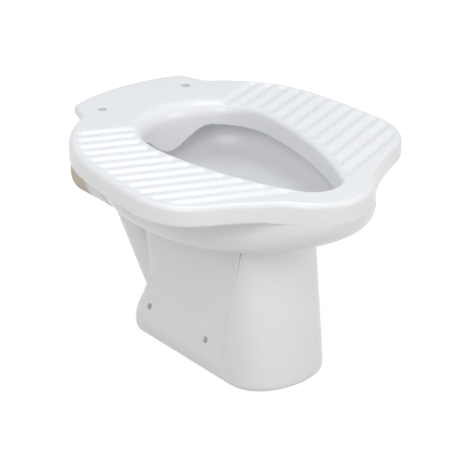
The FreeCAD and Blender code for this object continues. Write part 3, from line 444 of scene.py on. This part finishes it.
class Skin:
    """Collects grids into one closed mesh of china that stands for a CAD node."""

    def __init__(self, node: str) -> None:
        """Start an empty skin.

        Args:
            node: CAD node that the piece stands for.
        """
        self.node = node
        self.name = node + "_skin"
        self.points = np.zeros((0, 3))
        self.faces = np.zeros((0, 4), int)
        self.rims: List[Array] = []
        self.crease = math.radians(48.0)
        self.hole_margin = 0.4
        self.lip_depth = 1.0
        self.weld = 1e-6

    def grid(self, rows: Array, close_u: bool, close_v: bool) -> None:
        """Add the quads of a grid of points.

        Args:
            rows: Points as (u, v, 3), in millimetres.
            close_u: The last row joins the first.
            close_v: The last column joins the first.
        """
        count_u, count_v = rows.shape[:2]
        index = np.arange(count_u * count_v).reshape(count_u, count_v) + len(self.points)
        after = np.roll(index, -1, 0)
        quads = np.stack([index, after, np.roll(after, -1, 1), np.roll(index, -1, 1)], -1)
        quads = quads[: None if close_u else -1, : None if close_v else -1].reshape(-1, 4)
        self.points = np.vstack([self.points, rows.reshape(-1, 3)])
        self.faces = np.vstack([self.faces, quads])

    def cap(self, *loops: Array) -> None:
        """Fill closed loops of an even number of points with strips across them.

        Args:
            loops: Loops of points, in millimetres.
        """
        for loop in loops:
            count = len(loop)
            step = np.arange(count // 2 - 1)
            quads = np.stack([step, step + 1, count - 2 - step, count - 1 - step], 1)
            self.faces = np.vstack([self.faces, quads + len(self.points)])
            self.points = np.vstack([self.points, loop])

    def pierce(self, spot: Triple, axis: Triple, radius: float, lip: float) -> None:
        """Open a round hole through the skins along an axis.

        The faces near the axis are taken out, the ragged edges are drawn in to a circle and the top
        one is rounded by a dip of lip (1 - d / lip)^2 / 2 at a distance d from the edge.

        Args:
            spot: Point of the axis.
            axis: Unit direction of the axis.
            radius: Radius of the hole.
            lip: Width of the rounded edge.
        """
        line = np.asarray(axis, float)
        away = self.points - np.asarray(spot)
        away -= np.outer(away @ line, line)
        far = np.linalg.norm(away, axis=1)
        cut = (far[self.faces] < radius + self.hole_margin).any(1)
        edge = np.intersect1d(self.faces[cut], self.faces[~cut])
        self.points[edge] += away[edge] * (radius / far[edge] - 1)[:, None]
        self.faces = self.faces[~cut]
        self.rims.append(edge)
        if lip > 0:
            far[edge] = radius
            top = self.points[edge, 2].max()
            near = (far < radius + lip) & (self.points[:, 2] > top - self.lip_depth)
            self.points[near, 2] -= lip / 2 * (1 - (far[near] - radius) / lip) ** 2

    def mesh(self) -> bpy.types.Mesh:
        """Make the mesh, wall its holes, turn its faces outward and crease its sharp edges.

        Returns:
            The mesh.
        """
        mesh = bpy.data.meshes.new(self.name)
        mesh.from_pydata((self.points * MM).tolist(), [], self.faces.tolist())
        work = bmesh.new()
        work.from_mesh(mesh)
        work.verts.ensure_lookup_table()
        for rim in self.rims:
            spots = {work.verts[k] for k in rim.tolist()}
            edges = {e for v in spots for e in v.link_edges if e.is_boundary and e.other_vert(v) in spots}
            bmesh.ops.bridge_loops(work, edges=list(edges))
        loose = [v for v in work.verts if not v.link_faces]
        bmesh.ops.delete(work, geom=loose, context="VERTS")
        bmesh.ops.remove_doubles(work, verts=work.verts, dist=self.weld)
        bmesh.ops.recalc_face_normals(work, faces=work.faces)
        if work.calc_volume(signed=True) < 0:
            bmesh.ops.reverse_faces(work, faces=work.faces)
        for edge in work.edges:
            edge.smooth = edge.calc_face_angle(0.0) < self.crease
        work.to_mesh(mesh)
        work.free()
        mesh.polygons.foreach_set("use_smooth", np.ones(len(mesh.polygons), bool))
        return mesh

    def build(self, material: Material) -> None:
        """Make the piece, dress it and hang it on the frame.

        Args:
            material: Finish.
        """
        piece = bpy.data.objects.new(self.name, self.mesh())
        bpy.context.scene.collection.objects.link(piece)
        paint(piece, material)
        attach(piece, ROOT)
        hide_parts(self.node)
        LOG.info("built %s: %d faces", self.name, len(piece.data.polygons))


@dataclass(frozen=True)
class Egg:
    """Egg of four arcs, in millimetres."""

    rear_centre: float = 7.5
    rear_radius: float = 106.0
    nose_centre: float = -222.5
    nose_radius: float = 44.0
    side_radius: float = 600.0
    arc_steps: Counts = (240, 120, 180)

    def loop(self, offset: float, count: int) -> Array:
        """Counter-clockwise outline grown by an offset, each arc as c + r e^(i a).

        Args:
            offset: Added to each radius.
            count: Number of points.

        Returns:
            Points of the outline.
        """
        wide, slim, long = (r + offset for r in (self.rear_radius, self.nose_radius, self.side_radius))
        top, low = self.rear_centre, self.nose_centre
        level = ((long - slim) ** 2 - (long - wide) ** 2) / (2 * (top - low)) + (top + low) / 2
        centre = complex(-math.sqrt((long - wide) ** 2 - (level - top) ** 2), level)
        lower, upper = np.angle(1j * low - centre), np.angle(1j * top - centre)
        side, rear, nose = (np.arange(steps + 1) / steps for steps in self.arc_steps)
        right = np.concatenate([
            centre + long * np.exp(1j * (lower + (upper - lower) * side[:-1])),
            1j * top + wide * np.exp(1j * (upper + (math.pi / 2 - upper) * rear)),
        ])
        tip = math.pi - lower + (math.pi + 2 * lower) * nose[1:-1]
        line = np.concatenate([mirrored(right), 1j * low + slim * np.exp(1j * tip)])
        return smooth_loop(plan_points(line), count, 0.0)

    def on(self, fan: Fan, offset: float) -> Array:
        """Outline grown by an offset, read at the rays of a fan."""
        return fan.read(self.loop(offset, FINE * fan.count))


MOUTH = Egg()
TUB = Egg(rear_radius=114.0, nose_centre=-229.5, nose_radius=37.0, side_radius=426.5)


def heading_at(before: complex, point: complex, after: complex) -> complex:
    """Unit direction at the middle one of three points, along the circle through them.

    Args:
        before: Point before.
        point: Point where the direction is wanted.
        after: Point after.

    Returns:
        The direction as a complex number.
    """
    first, second, whole = point - before, after - point, after - before
    turn = first / abs(first) * second / abs(second) * (abs(whole) / whole)
    return turn / abs(turn)


def run_arc(start: complex, heading: complex, end: complex, count: int) -> Array:
    """Arc that leaves a point along a heading and ends in another: c + (start - c) e^(i a t).

    Args:
        start: First point.
        heading: Direction at the first point.
        end: Last point.
        count: Number of points, without the last.

    Returns:
        Points as complex numbers.
    """
    run = end - start
    side = heading * 1j
    reach = abs(run) ** 2 / (2 * (run * side.conjugate()).real)
    centre = start + side * reach
    sweep = 2 * np.angle(run / heading)
    return centre + (start - centre) * np.exp(1j * sweep * np.arange(count) / count)


def smooth_run(start: complex, leave: complex, end: complex, arrive: complex, count: int) -> Array:
    """Two arcs that meet smoothly half way between two points with given headings.

    Args:
        start: First point.
        leave: Heading at the first point.
        end: Last point.
        arrive: Heading at the last point.
        count: Points per arc.

    Returns:
        Points as complex numbers, without the last.
    """
    run, bend = end - start, leave + arrive
    along = (run * bend.conjugate()).real
    spread = 2 - 2 * (leave * arrive.conjugate()).real
    step = (math.sqrt(along ** 2 + spread * abs(run) ** 2) - along) / spread
    middle = (start + end + step * (leave - arrive)) / 2
    back = run_arc(end, -arrive, middle, count)[::-1]
    return np.concatenate([run_arc(start, leave, middle, count), [middle], back[:-1]])


@dataclass
class FootrestSlab:
    """Top casting: deck, ribbed footrests, lip, mouth and down-turned edge, in millimetres."""

    china: Material
    top: float = 350.0
    edge: float = 32.0
    plate: float = 12.0
    wall: float = 12.0
    taper: Pair = (125.0, 176.0)
    deck_corner: complex = 107 + 223j
    deck_bow: float = 285.0
    notch: complex = 122 + 178j
    wing: Tuple[complex, ...] = (193 + 111j, 231.5 - 22j, 205 - 194j, 150 - 226j)
    lip_centre: float = -229.5
    lip_radius: float = 90.5
    lip_join_angle: float = 64.0
    outline_round: float = 6.0
    join_round: float = 15.0
    join_reach: float = 36.0
    edge_round: float = 9.0
    hem_round: float = 5.0
    hem_flat: float = 1.5
    hem_least: float = 0.1
    hem_fade: Triple = (0.6, 78.0, 104.0)
    wall_rows: Pair = (0.25, 0.05)
    fillet: float = 3.0
    tub_gap: Pair = (1.5, 0.3)
    mouth_round: float = 9.0
    mouth_rear_round: float = 26.0
    rear_roll: Pair = (20.0, 110.0)
    rib_angle: float = 23.0
    rib_pitch: float = 25.65
    rib_first: float = -42.5
    rib_count: int = 12
    rib_depth: float = 4.4
    rib_power: float = 1.2
    rib_edge_fade: Pair = (8.0, 17.0)
    rib_mouth_fade: Pair = (5.0, 14.0)
    channel: Triple = (10.0, 41.5, 18.0)
    tub_offset: float = 53.5
    hole: Triple = (81.5, 180.0, 7.0)
    hole_lip: float = 2.2
    around: int = 720
    across: int = 56
    arc_steps: int = 60
    bore_steps: int = 8
    roll_steps: int = 11
    edge_steps: int = 9
    hem_steps: int = 7
    fillet_steps: int = 4
    under_steps: int = 16

    def outline(self, count: int) -> Array:
        """Counter-clockwise plan of the slab: bowed deck, notches, swept wings and round lip.

        Args:
            count: Number of points.

        Returns:
            The plan, rounded a little at its corners.
        """
        steps = self.arc_steps
        swing = math.radians(self.lip_join_angle)
        join = 1j * self.lip_centre + self.lip_radius * complex(math.sin(swing), -math.cos(swing))
        stops = (self.notch, *self.wing, join)
        ways = [heading_at(*stops[k:k + 3]) for k in range(len(self.wing))]
        wing = [run_arc(stops[1], -ways[0], stops[0], steps)[::-1]]
        for k in range(1, len(self.wing)):
            wing.append(smooth_run(stops[k], ways[k - 1], stops[k + 1], ways[k], steps))
        wing.append(run_arc(stops[-2], ways[-1], join, steps))
        angle = -math.pi / 2 + swing * np.linspace(1, 0, steps)
        wing.append(1j * self.lip_centre + self.lip_radius * np.exp(1j * angle))
        bow = math.sqrt(self.deck_bow ** 2 - self.deck_corner.real ** 2)
        middle = 1j * (self.deck_corner.imag - bow)
        tilt = math.asin(self.deck_corner.real / self.deck_bow)
        deck = middle + self.deck_bow * np.exp(1j * (math.pi / 2 - tilt * np.linspace(0, 1, steps)))
        half = np.concatenate([deck, [self.deck_corner * 0.5 + self.notch * 0.5], *wing])
        plan = plan_points(np.concatenate([half, -half.conjugate()[::-1]])[::-1])
        firm, soft = (smooth_loop(plan, count, spread) for spread in (self.outline_round, self.join_round))
        gap = np.hypot(np.abs(firm[:, 0]) - join.real, firm[:, 1] - join.imag)
        return firm + (soft - firm) * np.exp(-(gap / self.join_reach) ** 2)[:, None]

    def groove(self, plan: Array, height: Array, outline: Array) -> Array:
        """Groove depth of one loop: a raised cosine across the rows of ribs, cos(2 pi c / pitch).

        It is faded out towards the slab's edge and down the mouth.

        Args:
            plan: Loop in plan.
            height: Its heights.
            outline: Outline of the slab.

        Returns:
            1 in the middle of a groove, 0 on a rib and outside the rows.
        """
        turn = math.radians(self.rib_angle)
        across = np.abs(plan[:, 0]) * math.sin(turn) - plan[:, 1] * math.cos(turn)
        across = (across - self.rib_first) / self.rib_pitch
        wave = 0.5 + 0.5 * np.cos(2 * math.pi * across)
        rows = (across > -0.5) & (across < self.rib_count - 0.5)
        gap = np.sqrt(((plan[:, None, :] - outline[None, ::FINE, :]) ** 2).sum(2).min(1))
        bore = MOUTH.loop(0.0, len(outline) // FINE)
        rim = np.sqrt(((plan[:, None, :] - bore[None]) ** 2).sum(2).min(1))
        fade = smooth_step(gap, *self.rib_edge_fade) * smooth_step(rim, *self.rib_mouth_fade)
        return np.where(rows, wave ** self.rib_power, 0.0) * fade * (height > self.top - self.mouth_round)

    def upper_rows(self, fan: Fan, outline: Array) -> List[Row]:
        """Loops up the mouth, over its roll, across the ribbed top and round the outer edge.

        Both edges turn as r (1 - sin a), r (1 - cos a), and the mouth's roll is broader at the rear.

        Args:
            fan: Rays about the mouth.
            outline: Outline of the slab.

        Returns:
            Plans and their heights.
        """
        bore = MOUTH.on(fan, 0.0)
        rear = smooth_step(bore[:, 1], *self.rear_roll)
        radius = self.mouth_round + (self.mouth_rear_round - self.mouth_round) * rear
        rate = (MOUTH.on(fan, self.mouth_rear_round) - bore) / self.mouth_rear_round
        levels = np.linspace(self.top - self.edge, self.top - self.mouth_rear_round, self.bore_steps)
        rows: List[Row] = [(bore, level) for level in levels[:-1]]
        for down, out in quarter(self.roll_steps):
            rows.append((bore + rate * (radius * out)[:, None], self.top - radius * down))
        inner = rows[-1][0]
        outer = fan.read(drawn_in(outline, self.edge_round))
        shares = np.linspace(0, 1, self.across + 1)[1:-1]
        rows += [(inner + (outer - inner) * t, self.top) for t in shares]
        for back, down in quarter(self.edge_steps):
            plan = fan.read(drawn_in(outline, self.edge_round * back))
            rows.append((plan, self.top - self.edge_round * down))
        return [(plan, z - self.rib_depth * self.groove(plan, z, outline)) for plan, z in rows]

    def under_rows(self, fan: Fan, outline: Array) -> List[Row]:
        """Loops down the edge, round its hem, up inside it, along the underside and round the channel.

        The edge is full under the wings and thins to the plate under the deck. The hem turns as
        h (1 - sin a), h (1 - cos a), with h smaller at the lip and under the deck.

        Args:
            fan: Rays about the mouth.
            outline: Outline of the slab.

        Returns:
            Plans and their heights.
        """
        base, roof = self.top - self.edge, self.top - self.plate
        span = fan.reach(drawn_in(outline, 0.0))
        verge = fan.ring(span)
        low = base + (roof - base) * smooth_step(verge[:, 1], *self.taper)
        shallow = (roof - low) / (roof - base)
        slope, *fade = self.hem_fade
        ahead = np.abs(verge[:, 0]) + slope * (verge[:, 1] - self.lip_centre)
        lip = smooth_step(ahead, *fade)
        hem = self.hem_flat - self.hem_least + (self.hem_round - self.hem_flat) * shallow
        hem = self.hem_least + hem * lip
        drawn = fan.read(drawn_in(outline, self.hem_round)) - verge
        rows: List[Row] = []
        for share in self.wall_rows:
            rows.append((verge, low + hem + share * (self.top - self.edge_round - low - hem)))
        for up, back in quarter(self.hem_steps):
            rows.append((verge + drawn * (hem / self.hem_round * back)[:, None], low + hem * up))
        tail = np.minimum(fan.reach(TUB.loop(self.tub_offset, FINE * fan.count)), span - self.tub_gap[0])
        stop = fan.ring(tail)

        def ordered(distance: float) -> Array:
            """Outline drawn in by a distance, but not past the tub."""
            return fan.ring(np.maximum(fan.reach(drawn_in(outline, distance)), tail + self.tub_gap[1]))

        rows.append((ordered(self.wall - self.fillet), low))
        for back, up in quarter(self.fillet_steps):
            rows.append((ordered(self.wall - self.fillet * back), low + self.fillet * shallow * up))
        for down, out in quarter(self.fillet_steps):
            rows.append((ordered(self.wall + self.fillet * out), roof - self.fillet * shallow * down))
        start = ordered(self.wall + self.fillet)
        rows += [(start + (stop - start) * t, roof) for t in np.linspace(0, 1, self.under_steps)[1:]]
        near, far, depth = self.channel
        inner, outer = MOUTH.on(fan, near), TUB.on(fan, far)
        rows += [(stop, base), (outer, base), (outer, base + depth), (inner, base + depth), (inner, base)]
        return rows

    def build(self) -> None:
        """Make the slab with its two seat holes."""
        fan = Fan(FAN_Y, self.around)
        outline = self.outline(FINE * fan.count)
        skin = Skin("footrest_slab")
        skin.grid(fan.stack(self.upper_rows(fan, outline) + self.under_rows(fan, outline)), True, True)
        x, y, radius = self.hole
        for side in (-1, 1):
            skin.pierce((side * x, y, 0.0), UP, radius, self.hole_lip)
        skin.build(self.china)


@dataclass
class Bowl:
    """Egg-shaped tub whose floor rises to the front, with a throat hole, in millimetres."""

    china: Material
    rim: float = 318.0
    floor: float = 230.0
    wall: float = 12.0
    offset: float = 53.5
    bottom_round: float = 40.0
    inner_offset: float = 30.0
    inner_bend: Pair = (72.0, 66.0)
    rim_gap: float = 0.5
    flat_front: float = -60.0
    rise_radius: float = 620.0
    throat_y: float = 20.0
    throat_radius: float = 40.0
    throat_round: float = 9.0
    throat_wall: float = 10.0
    overlap: float = 1.0
    around: int = 480
    wall_steps: Counts = (8, 10)
    floor_steps: Counts = (24, 14)
    bend_steps: Counts = (16, 14)
    throat_steps: int = 7

    def underside(self, y: Array) -> Array:
        """Height of the underside: level, then an arc that rises to the front.

        Args:
            y: Places along the bowl.

        Returns:
            Heights.
        """
        ahead = np.minimum(y - self.flat_front, 0.0)
        return self.floor + self.rise_radius - np.sqrt(self.rise_radius ** 2 - ahead ** 2)

    def stations(self, fan: Fan) -> List[Row]:
        """Loops from the inner rim down to the throat, through it and up the outside.

        Outside the wall turns into the floor along r (1 - sin a), r (1 - cos a), inside along an ellipse.

        Args:
            fan: Rays about the throat.

        Returns:
            Plans and their heights.
        """
        wide, tall = self.inner_bend
        bend: List[Row] = []
        for back, up in quarter(self.bend_steps[0])[::-1]:
            plan = TUB.on(fan, self.inner_offset - wide * back)
            height = self.underside(plan[:, 1]) + self.wall + tall * up
            bend.append((plan, np.minimum(height, self.rim - self.rim_gap)))
        edge, high = bend[0]
        rows = [(edge, self.rim + (high - self.rim) * t) for t in np.linspace(0, 1, self.wall_steps[0])]
        rows = rows[:-1] + bend
        edge, mouth = bend[-1][0], fan.ring(self.throat_radius + self.throat_round)
        for t in np.linspace(0, 1, self.floor_steps[0])[1:]:
            plan = edge + (mouth - edge) * t
            rows.append((plan, self.underside(plan[:, 1]) + self.wall))
        low = self.floor + self.wall
        for out, down in quarter(self.throat_steps)[1:]:
            plan = fan.ring(self.throat_radius + self.throat_round * out)
            rows.append((plan, low - self.throat_round * down))
        rows.append((fan.ring(self.throat_radius), self.floor))
        start = fan.ring(self.throat_radius + self.throat_wall)
        outer = TUB.on(fan, self.offset - self.bottom_round)
        for t in np.linspace(0, 1, self.floor_steps[1])[:-1]:
            plan = start + (outer - start) * t
            rows.append((plan, self.underside(plan[:, 1])))
        for back, up in quarter(self.bend_steps[1]):
            plan = TUB.on(fan, self.offset - self.bottom_round * back)
            rows.append((plan, self.underside(plan[:, 1]) + self.bottom_round * up))
        last, height = rows[-1]
        shares = np.linspace(0, 1, self.wall_steps[1])[1:]
        return rows + [(last, height + (self.rim - height) * t) for t in shares]

    def build(self) -> None:
        """Make the tub."""
        fan = Fan(self.throat_y, self.around)
        skin = Skin("bowl")
        skin.grid(fan.stack(self.stations(fan)), True, True)
        skin.build(self.china)


@dataclass
class FlushRim:
    """Ledge below the rim channel with its jets, and tongue at the back of the mouth, in millimetres."""

    china: Material
    top: float = 318.0
    thickness: float = 4.0
    outer: float = 41.5
    blend_from: float = 0.6
    lip_round: float = 2.0
    jet_radius: float = 3.0
    jet_ring: float = 19.0
    jet_rows: Tuple[Tuple[float, float, float, float, int], ...] = (
        (7.5, 106.0, 90.0, 170.0, 9),
        (-222.5, 44.0, 270.0, 150.0, 6),
    )
    tongue_drop: float = 36.0
    tongue_least: float = 0.2
    tongue_lean: float = -1.0
    tongue_wall: float = 9.0
    tongue_half_angle: float = 37.0
    tongue_rise: float = 8.0
    tongue_proud: float = 0.15
    tongue_steps: Counts = (161, 24)
    lip_steps: int = 6
    band_steps: int = 14
    around: int = 720

    def line(self, fan: Fan, offset: float) -> Array:
        """Mouth outline grown by an offset, on the outer part of the ledge drawn to the tub.

        Args:
            fan: Rays about the mouth.
            offset: Distance from the mouth.

        Returns:
            One point per ray.
        """
        near, far = MOUTH.on(fan, offset), TUB.on(fan, offset)
        share = smooth_step(np.array(offset), self.blend_from * self.outer, self.outer)
        return near + (far - near) * share

    def ledge(self) -> None:
        """Make the ring: a flat band of the mouth's egg with a rounded lower lip."""
        fan = Fan(FAN_Y, self.around)
        low = self.top - self.thickness
        steps = [(0.0, self.top)]
        steps += [(self.lip_round * out, low + self.lip_round * up) for up, out in quarter(self.lip_steps)]
        steps += [(offset, low) for offset in np.linspace(self.lip_round, self.outer, self.band_steps)[1:]]
        steps += [(offset, self.top) for offset in np.linspace(self.outer, 0.0, self.band_steps + 1)[:-1]]
        skin = Skin("flush_rim")
        skin.grid(fan.stack([(self.line(fan, offset), level) for offset, level in steps]), True, True)
        for middle, radius, facing, sweep, number in self.jet_rows:
            ring = radius + self.jet_ring
            for turn in np.radians(np.linspace(facing - sweep / 2, facing + sweep / 2, number)):
                spot = (ring * math.cos(turn), middle + ring * math.sin(turn), 0.0)
                skin.pierce(spot, UP, self.jet_radius, 0.0)
        skin.build(self.china)

    def tongue(self) -> None:
        """Make the tongue: a wall about the mouth's rear centre that leans as the drop squared.

        Its lower edge is a bell, drop cos(pi t / 2)^2 at the share t of its half angle.
        Its head lies on the rim's face, so that face and tongue are one surface.
        """
        top = self.top - self.thickness
        head = top + self.tongue_rise
        share = np.linspace(-1, 1, self.tongue_steps[0])
        turn = np.radians(self.tongue_half_angle) * share
        face = MOUTH.rear_radius - self.tongue_proud
        hem = top - self.tongue_least - self.tongue_drop * np.cos(math.pi / 2 * share) ** 2
        edge = self.lip_round

        def lean(level: Array) -> Array:
            """Inner radius of the wall at a height."""
            return face - self.tongue_lean * np.clip((top - level) / self.tongue_drop, 0.0, 1.0) ** 2

        levels = [head + (hem + edge - head) * t for t in np.linspace(0, 1, self.tongue_steps[1])]
        rows = [(lean(level), level) for level in levels]
        for up, out in quarter(self.lip_steps)[1:]:
            rows.append((lean(hem + edge * up) + edge * out, hem + edge * up))
        for up, out in quarter(self.lip_steps)[::-1]:
            rows.append((lean(hem + edge * up) + self.tongue_wall - edge * out, hem + edge * up))
        rows += [(lean(level) + self.tongue_wall, level) for level in levels[-2::-1]]
        grid = np.stack([
            np.column_stack([reach * np.sin(turn), MOUTH.rear_centre + reach * np.cos(turn), level])
            for reach, level in rows
        ], 1)
        skin = Skin("flush_apron")
        skin.grid(grid, False, True)
        skin.cap(grid[0], grid[-1])
        skin.build(self.china)

    def build(self) -> None:
        """Make the ledge and the tongue."""
        self.ledge()
        self.tongue()


@dataclass(frozen=True)
class ColumnPlan:
    """Plan of the column's outer or inner face at one height, in millimetres."""

    half: float
    tip: float
    bow: float
    bend: float
    rear: float
    heel: float = 0.0
    back_steps: int = 5
    heel_steps: int = 14
    side_steps: int = 14
    bend_steps: int = 24
    bow_steps: int = 40

    def line(self, start: float) -> Array:
        """Open plan from the right end of the back round the front: heel, side, corner and bow.

        Args:
            start: Distance of the back's end from the middle plane.

        Returns:
            Points of the right and left half, the same number for each plan.
        """
        middle = 1j * (self.tip + self.bow)
        inset = self.half - self.bend
        corner = inset + middle - 1j * math.sqrt((self.bow - self.bend) ** 2 - inset ** 2)
        touch = middle + (corner - middle) / abs(corner - middle) * self.bow
        back = np.linspace(start, self.half - self.heel, self.back_steps + 1)[:-1] + 1j * self.rear
        heel = complex(self.half - self.heel, self.rear - self.heel)
        heel_arc = heel + self.heel * np.exp(1j * np.linspace(math.pi / 2, 0, self.heel_steps))
        side = self.half + 1j * np.linspace(self.rear - self.heel, corner.imag, self.side_steps)[1:-1]
        bend_turn = np.linspace(0, np.angle(touch - corner), self.bend_steps)
        bend_arc = corner + self.bend * np.exp(1j * bend_turn)
        bow_turn = np.linspace(np.angle(touch - middle), -math.pi / 2, self.bow_steps)[1:]
        bow_arc = middle + self.bow * np.exp(1j * bow_turn)
        return plan_points(mirrored(np.concatenate([back, heel_arc, side, bend_arc, bow_arc])))


@dataclass
class Pedestal:
    """Front column, recessed side walls and flared foot, in millimetres."""

    china: Material
    bowl: Bowl
    outer: Tuple[ColumnPlan, ColumnPlan] = (
        ColumnPlan(85.0, -205.0, 120.0, 62.0, -118.0, 0.5),
        ColumnPlan(72.0, -172.0, 160.0, 20.0, -142.0, 15.0),
    )
    inner: Tuple[ColumnPlan, ColumnPlan] = (
        ColumnPlan(50.0, -191.0, 106.0, 30.0, -118.0),
        ColumnPlan(50.0, -158.0, 146.0, 14.0, -142.0),
    )
    loft: float = 256.0
    side_faces: Pair = (50.0, 66.0)
    side_front: float = -144.0
    side_rear: Pair = (88.0, 120.0)
    side_bend: float = 70.0
    side_round: Pair = (12.0, 30.0)
    foot_half: float = 85.0
    foot_front: float = -128.0
    foot_rear: float = 125.0
    foot_corner: float = 42.0
    foot_wall: float = 35.0
    foot_flare: Triple = (16.0, 80.0, 19.4)
    foot_heel: Triple = (60.0, 100.0, 4.0)
    foot_shelf: Pair = (9.0, 28.0)
    foot_toe: Pair = (4.0, 11.0)
    foot_lean: Pair = (50.0, 118.0)
    foot_tuck: Triple = (116.0, 119.0, 0.5)
    foot_hole: Tuple[float, Pair, float] = (76.0, (-70.0, 72.0), 5.0)
    hole_tilt: float = 58.0
    toe_steps: int = 8
    column_steps: int = 40
    wall_steps: Counts = (44, 40, 16)
    path_steps: Counts = (150, 56, 30)
    foot_steps: Counts = (40, 12, 24)
    hole_steps: int = 400

    def column(self) -> None:
        """Make the column: a straight blend of its foot plan into its head plan, up to the bowl.

        Its outer face is drawn in at the toe along the plan's normals, at the heels to the middle plane.
        """
        ends = []
        for outer, inner in zip(self.outer, self.inner):
            ends.append(np.vstack([outer.line(inner.half), inner.line(inner.half)[::-1]]))
        count = len(ends[0]) // 2
        along = np.gradient(ends[0][:count], axis=0)
        along /= np.linalg.norm(along, axis=1, keepdims=True)
        into = np.zeros_like(ends[0])
        into[:count] = np.stack([along[:, 1], -along[:, 0]], 1)
        back = self.outer[0].back_steps
        heel = back + self.outer[0].heel_steps
        into[:heel] = np.column_stack([-np.clip(np.arange(heel) / back, 0.0, 1.0), np.zeros(heel)])
        into[count - heel:count] = -into[:heel][::-1]
        toe_in, toe_up = self.foot_toe
        steps = [(toe_up * up, toe_in * drawn) for drawn, up in quarter(self.toe_steps)]
        steps += [(level, 0.0) for level in np.linspace(toe_up, self.loft, self.column_steps)[1:]]
        rows = []
        for level, drawn in steps:
            plan = ends[0] + (ends[1] - ends[0]) * (level / self.loft) + into * drawn
            roof = self.bowl.underside(plan[:, 1]) + self.bowl.overlap
            rows.append(np.column_stack([plan, np.minimum(level, roof)]))
        grid = np.stack(rows, 1)
        skin = Skin("pedestal_front")
        skin.grid(grid, True, False)
        skin.cap(grid[:, 0], grid[:, -1])
        skin.build(self.china)

    def side_wall(self, side: int, node: str) -> None:
        """Make a side wall: a plate with an elliptic rear edge that leans back above the foot.

        Its heights grow as z (1 + rise / under), so that its head follows the rising tub.

        Args:
            side: 1 for right, -1 for left.
            node: CAD node it stands for.
        """
        inside, outside = self.side_faces
        levels, steps, turns = self.wall_steps
        back, drawn = quarter(turns).T * np.array(self.side_round)[::-1, None]
        under = self.bowl.floor + self.bowl.overlap
        rows = []
        for level in np.linspace(0, under, levels):
            lean = max(level - self.side_bend, 0.0) / (self.loft - self.side_bend)
            rear = np.interp(lean, (0, 1), self.side_rear)
            along = np.linspace(self.side_front, rear - self.side_round[1], steps)[:-1]
            face = np.column_stack([np.full(len(along), outside), along])
            near = np.vstack([face, np.column_stack([outside - drawn, rear - back])])
            far = np.column_stack([np.full(len(near), inside), np.minimum(near[:, 1], rear)])
            plan = np.vstack([near, far[::-1]]) * [side, 1]
            rise = self.bowl.underside(plan[:, 1]) - self.bowl.floor
            rows.append(np.column_stack([plan, level + rise * level / under]))
        grid = np.stack(rows, 1)
        skin = Skin(node)
        skin.grid(grid, True, False)
        skin.cap(grid[:, 0], grid[:, -1])
        skin.build(self.china)

    def foot_path(self) -> Tuple[Array, Array]:
        """Open plan of the foot's outside, from the column's right heel round the rear to its left heel.

        Returns:
            Points and their inward normals.
        """
        bend = self.foot_corner
        ahead, about, across = self.path_steps
        centre = complex(self.foot_half - bend, self.foot_rear - bend)
        turn = np.exp(1j * np.linspace(0, math.pi / 2, about))
        side = self.foot_half + 1j * np.linspace(self.foot_front, centre.imag, ahead)[:-1]
        rear = np.linspace(centre.real, 0, across)[1:] + 1j * self.foot_rear
        right = np.concatenate([side, centre + bend * turn, rear])
        into = np.concatenate([np.full(len(side), -1.0 + 0j), -turn, np.full(len(rear), -1j)])
        return plan_points(mirrored(right)), plan_points(mirrored(into))

    def foot(self) -> None:
        """Make the foot: a profile along its plan, drawn in by flare s(z) above a round toe.

        s is the cubic ramp over the flare's height, which grows towards the heel.
        Near the column the profile leans in with the column's side.
        The screw holes open square to the flare.
        """
        low, high, flare = self.foot_flare
        toe_in, toe_up = self.foot_toe
        path, normal = self.foot_path()
        *ramp, heel_rise = self.foot_heel
        heel = smooth_step(path[:, 1], *ramp)[:, None]
        near = smooth_step(-path[:, 1], *self.foot_lean)[:, None]
        each = np.ones_like(heel)
        toe, toe_rise = quarter(self.toe_steps).T
        rising, falling, level_steps = self.foot_steps
        share = np.linspace(0, 1, rising)
        top = high + heel_rise * heel
        shelf = np.interp(heel, (0, 1), self.foot_shelf)
        back = (top + shelf) * np.linspace(1, 0, falling)
        sole = np.linspace(self.foot_wall, toe_in, level_steps)[1:-1] * each
        level = np.hstack([toe_up * toe_rise * each, low + (top - low) * share, back, np.zeros_like(sole)])
        drawn = np.hstack([toe_in * toe * each, flare * smooth_step(share, 0.0, 1.0) * each,
                           np.full_like(back, self.foot_wall), sole])
        lean = (self.outer[0].half - self.outer[1].half) / self.loft
        inset = drawn + lean * level * near * (drawn < self.foot_wall)
        *ramp, tuck = self.foot_tuck
        inset = inset + tuck * smooth_step(-path[:, 1], *ramp)[:, None]
        points = path[:, None] + normal[:, None] * inset[..., None]
        grid = np.concatenate([points, level[..., None]], 2)
        skin = Skin("foot")
        skin.grid(grid, False, True)
        skin.cap(grid[0], grid[-1])
        x, holes, radius = self.foot_hole
        z = np.linspace(low, high, self.hole_steps)
        rise = np.interp(self.foot_half - x, flare * smooth_step(z, low, high), z)
        tilt = math.radians(self.hole_tilt)
        for side in (-1, 1):
            for y in holes:
                skin.pierce((side * x, y, rise), (side * math.sin(tilt), 0.0, math.cos(tilt)), radius, 0.0)
        skin.build(self.china)

    def build(self) -> None:
        """Make the pieces of the pedestal."""
        self.column()
        for side, node in ((1, "side_wall_right"), (-1, "side_wall_left")):
            self.side_wall(side, node)
        self.foot()


def main() -> None:
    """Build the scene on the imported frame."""
    logging.basicConfig(level=logging.INFO)
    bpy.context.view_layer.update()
    finish = Finish()
    china = finish.glaze(Glaze())
    looks = {Slot.CHINA: china, Slot.BISCUIT: finish.biscuit(Biscuit(), Glaze())}
    for name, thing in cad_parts.items():
        paint(thing, looks[Slot.BISCUIT if name == HORN else Slot.CHINA])
        LOG.info("painted %s", name)
    bowl = Bowl(china)
    for part in (FootrestSlab(china), bowl, FlushRim(china), Pedestal(china, bowl)):
        part.build()
    Studio().build()


if __name__ == "__main__":
    main()
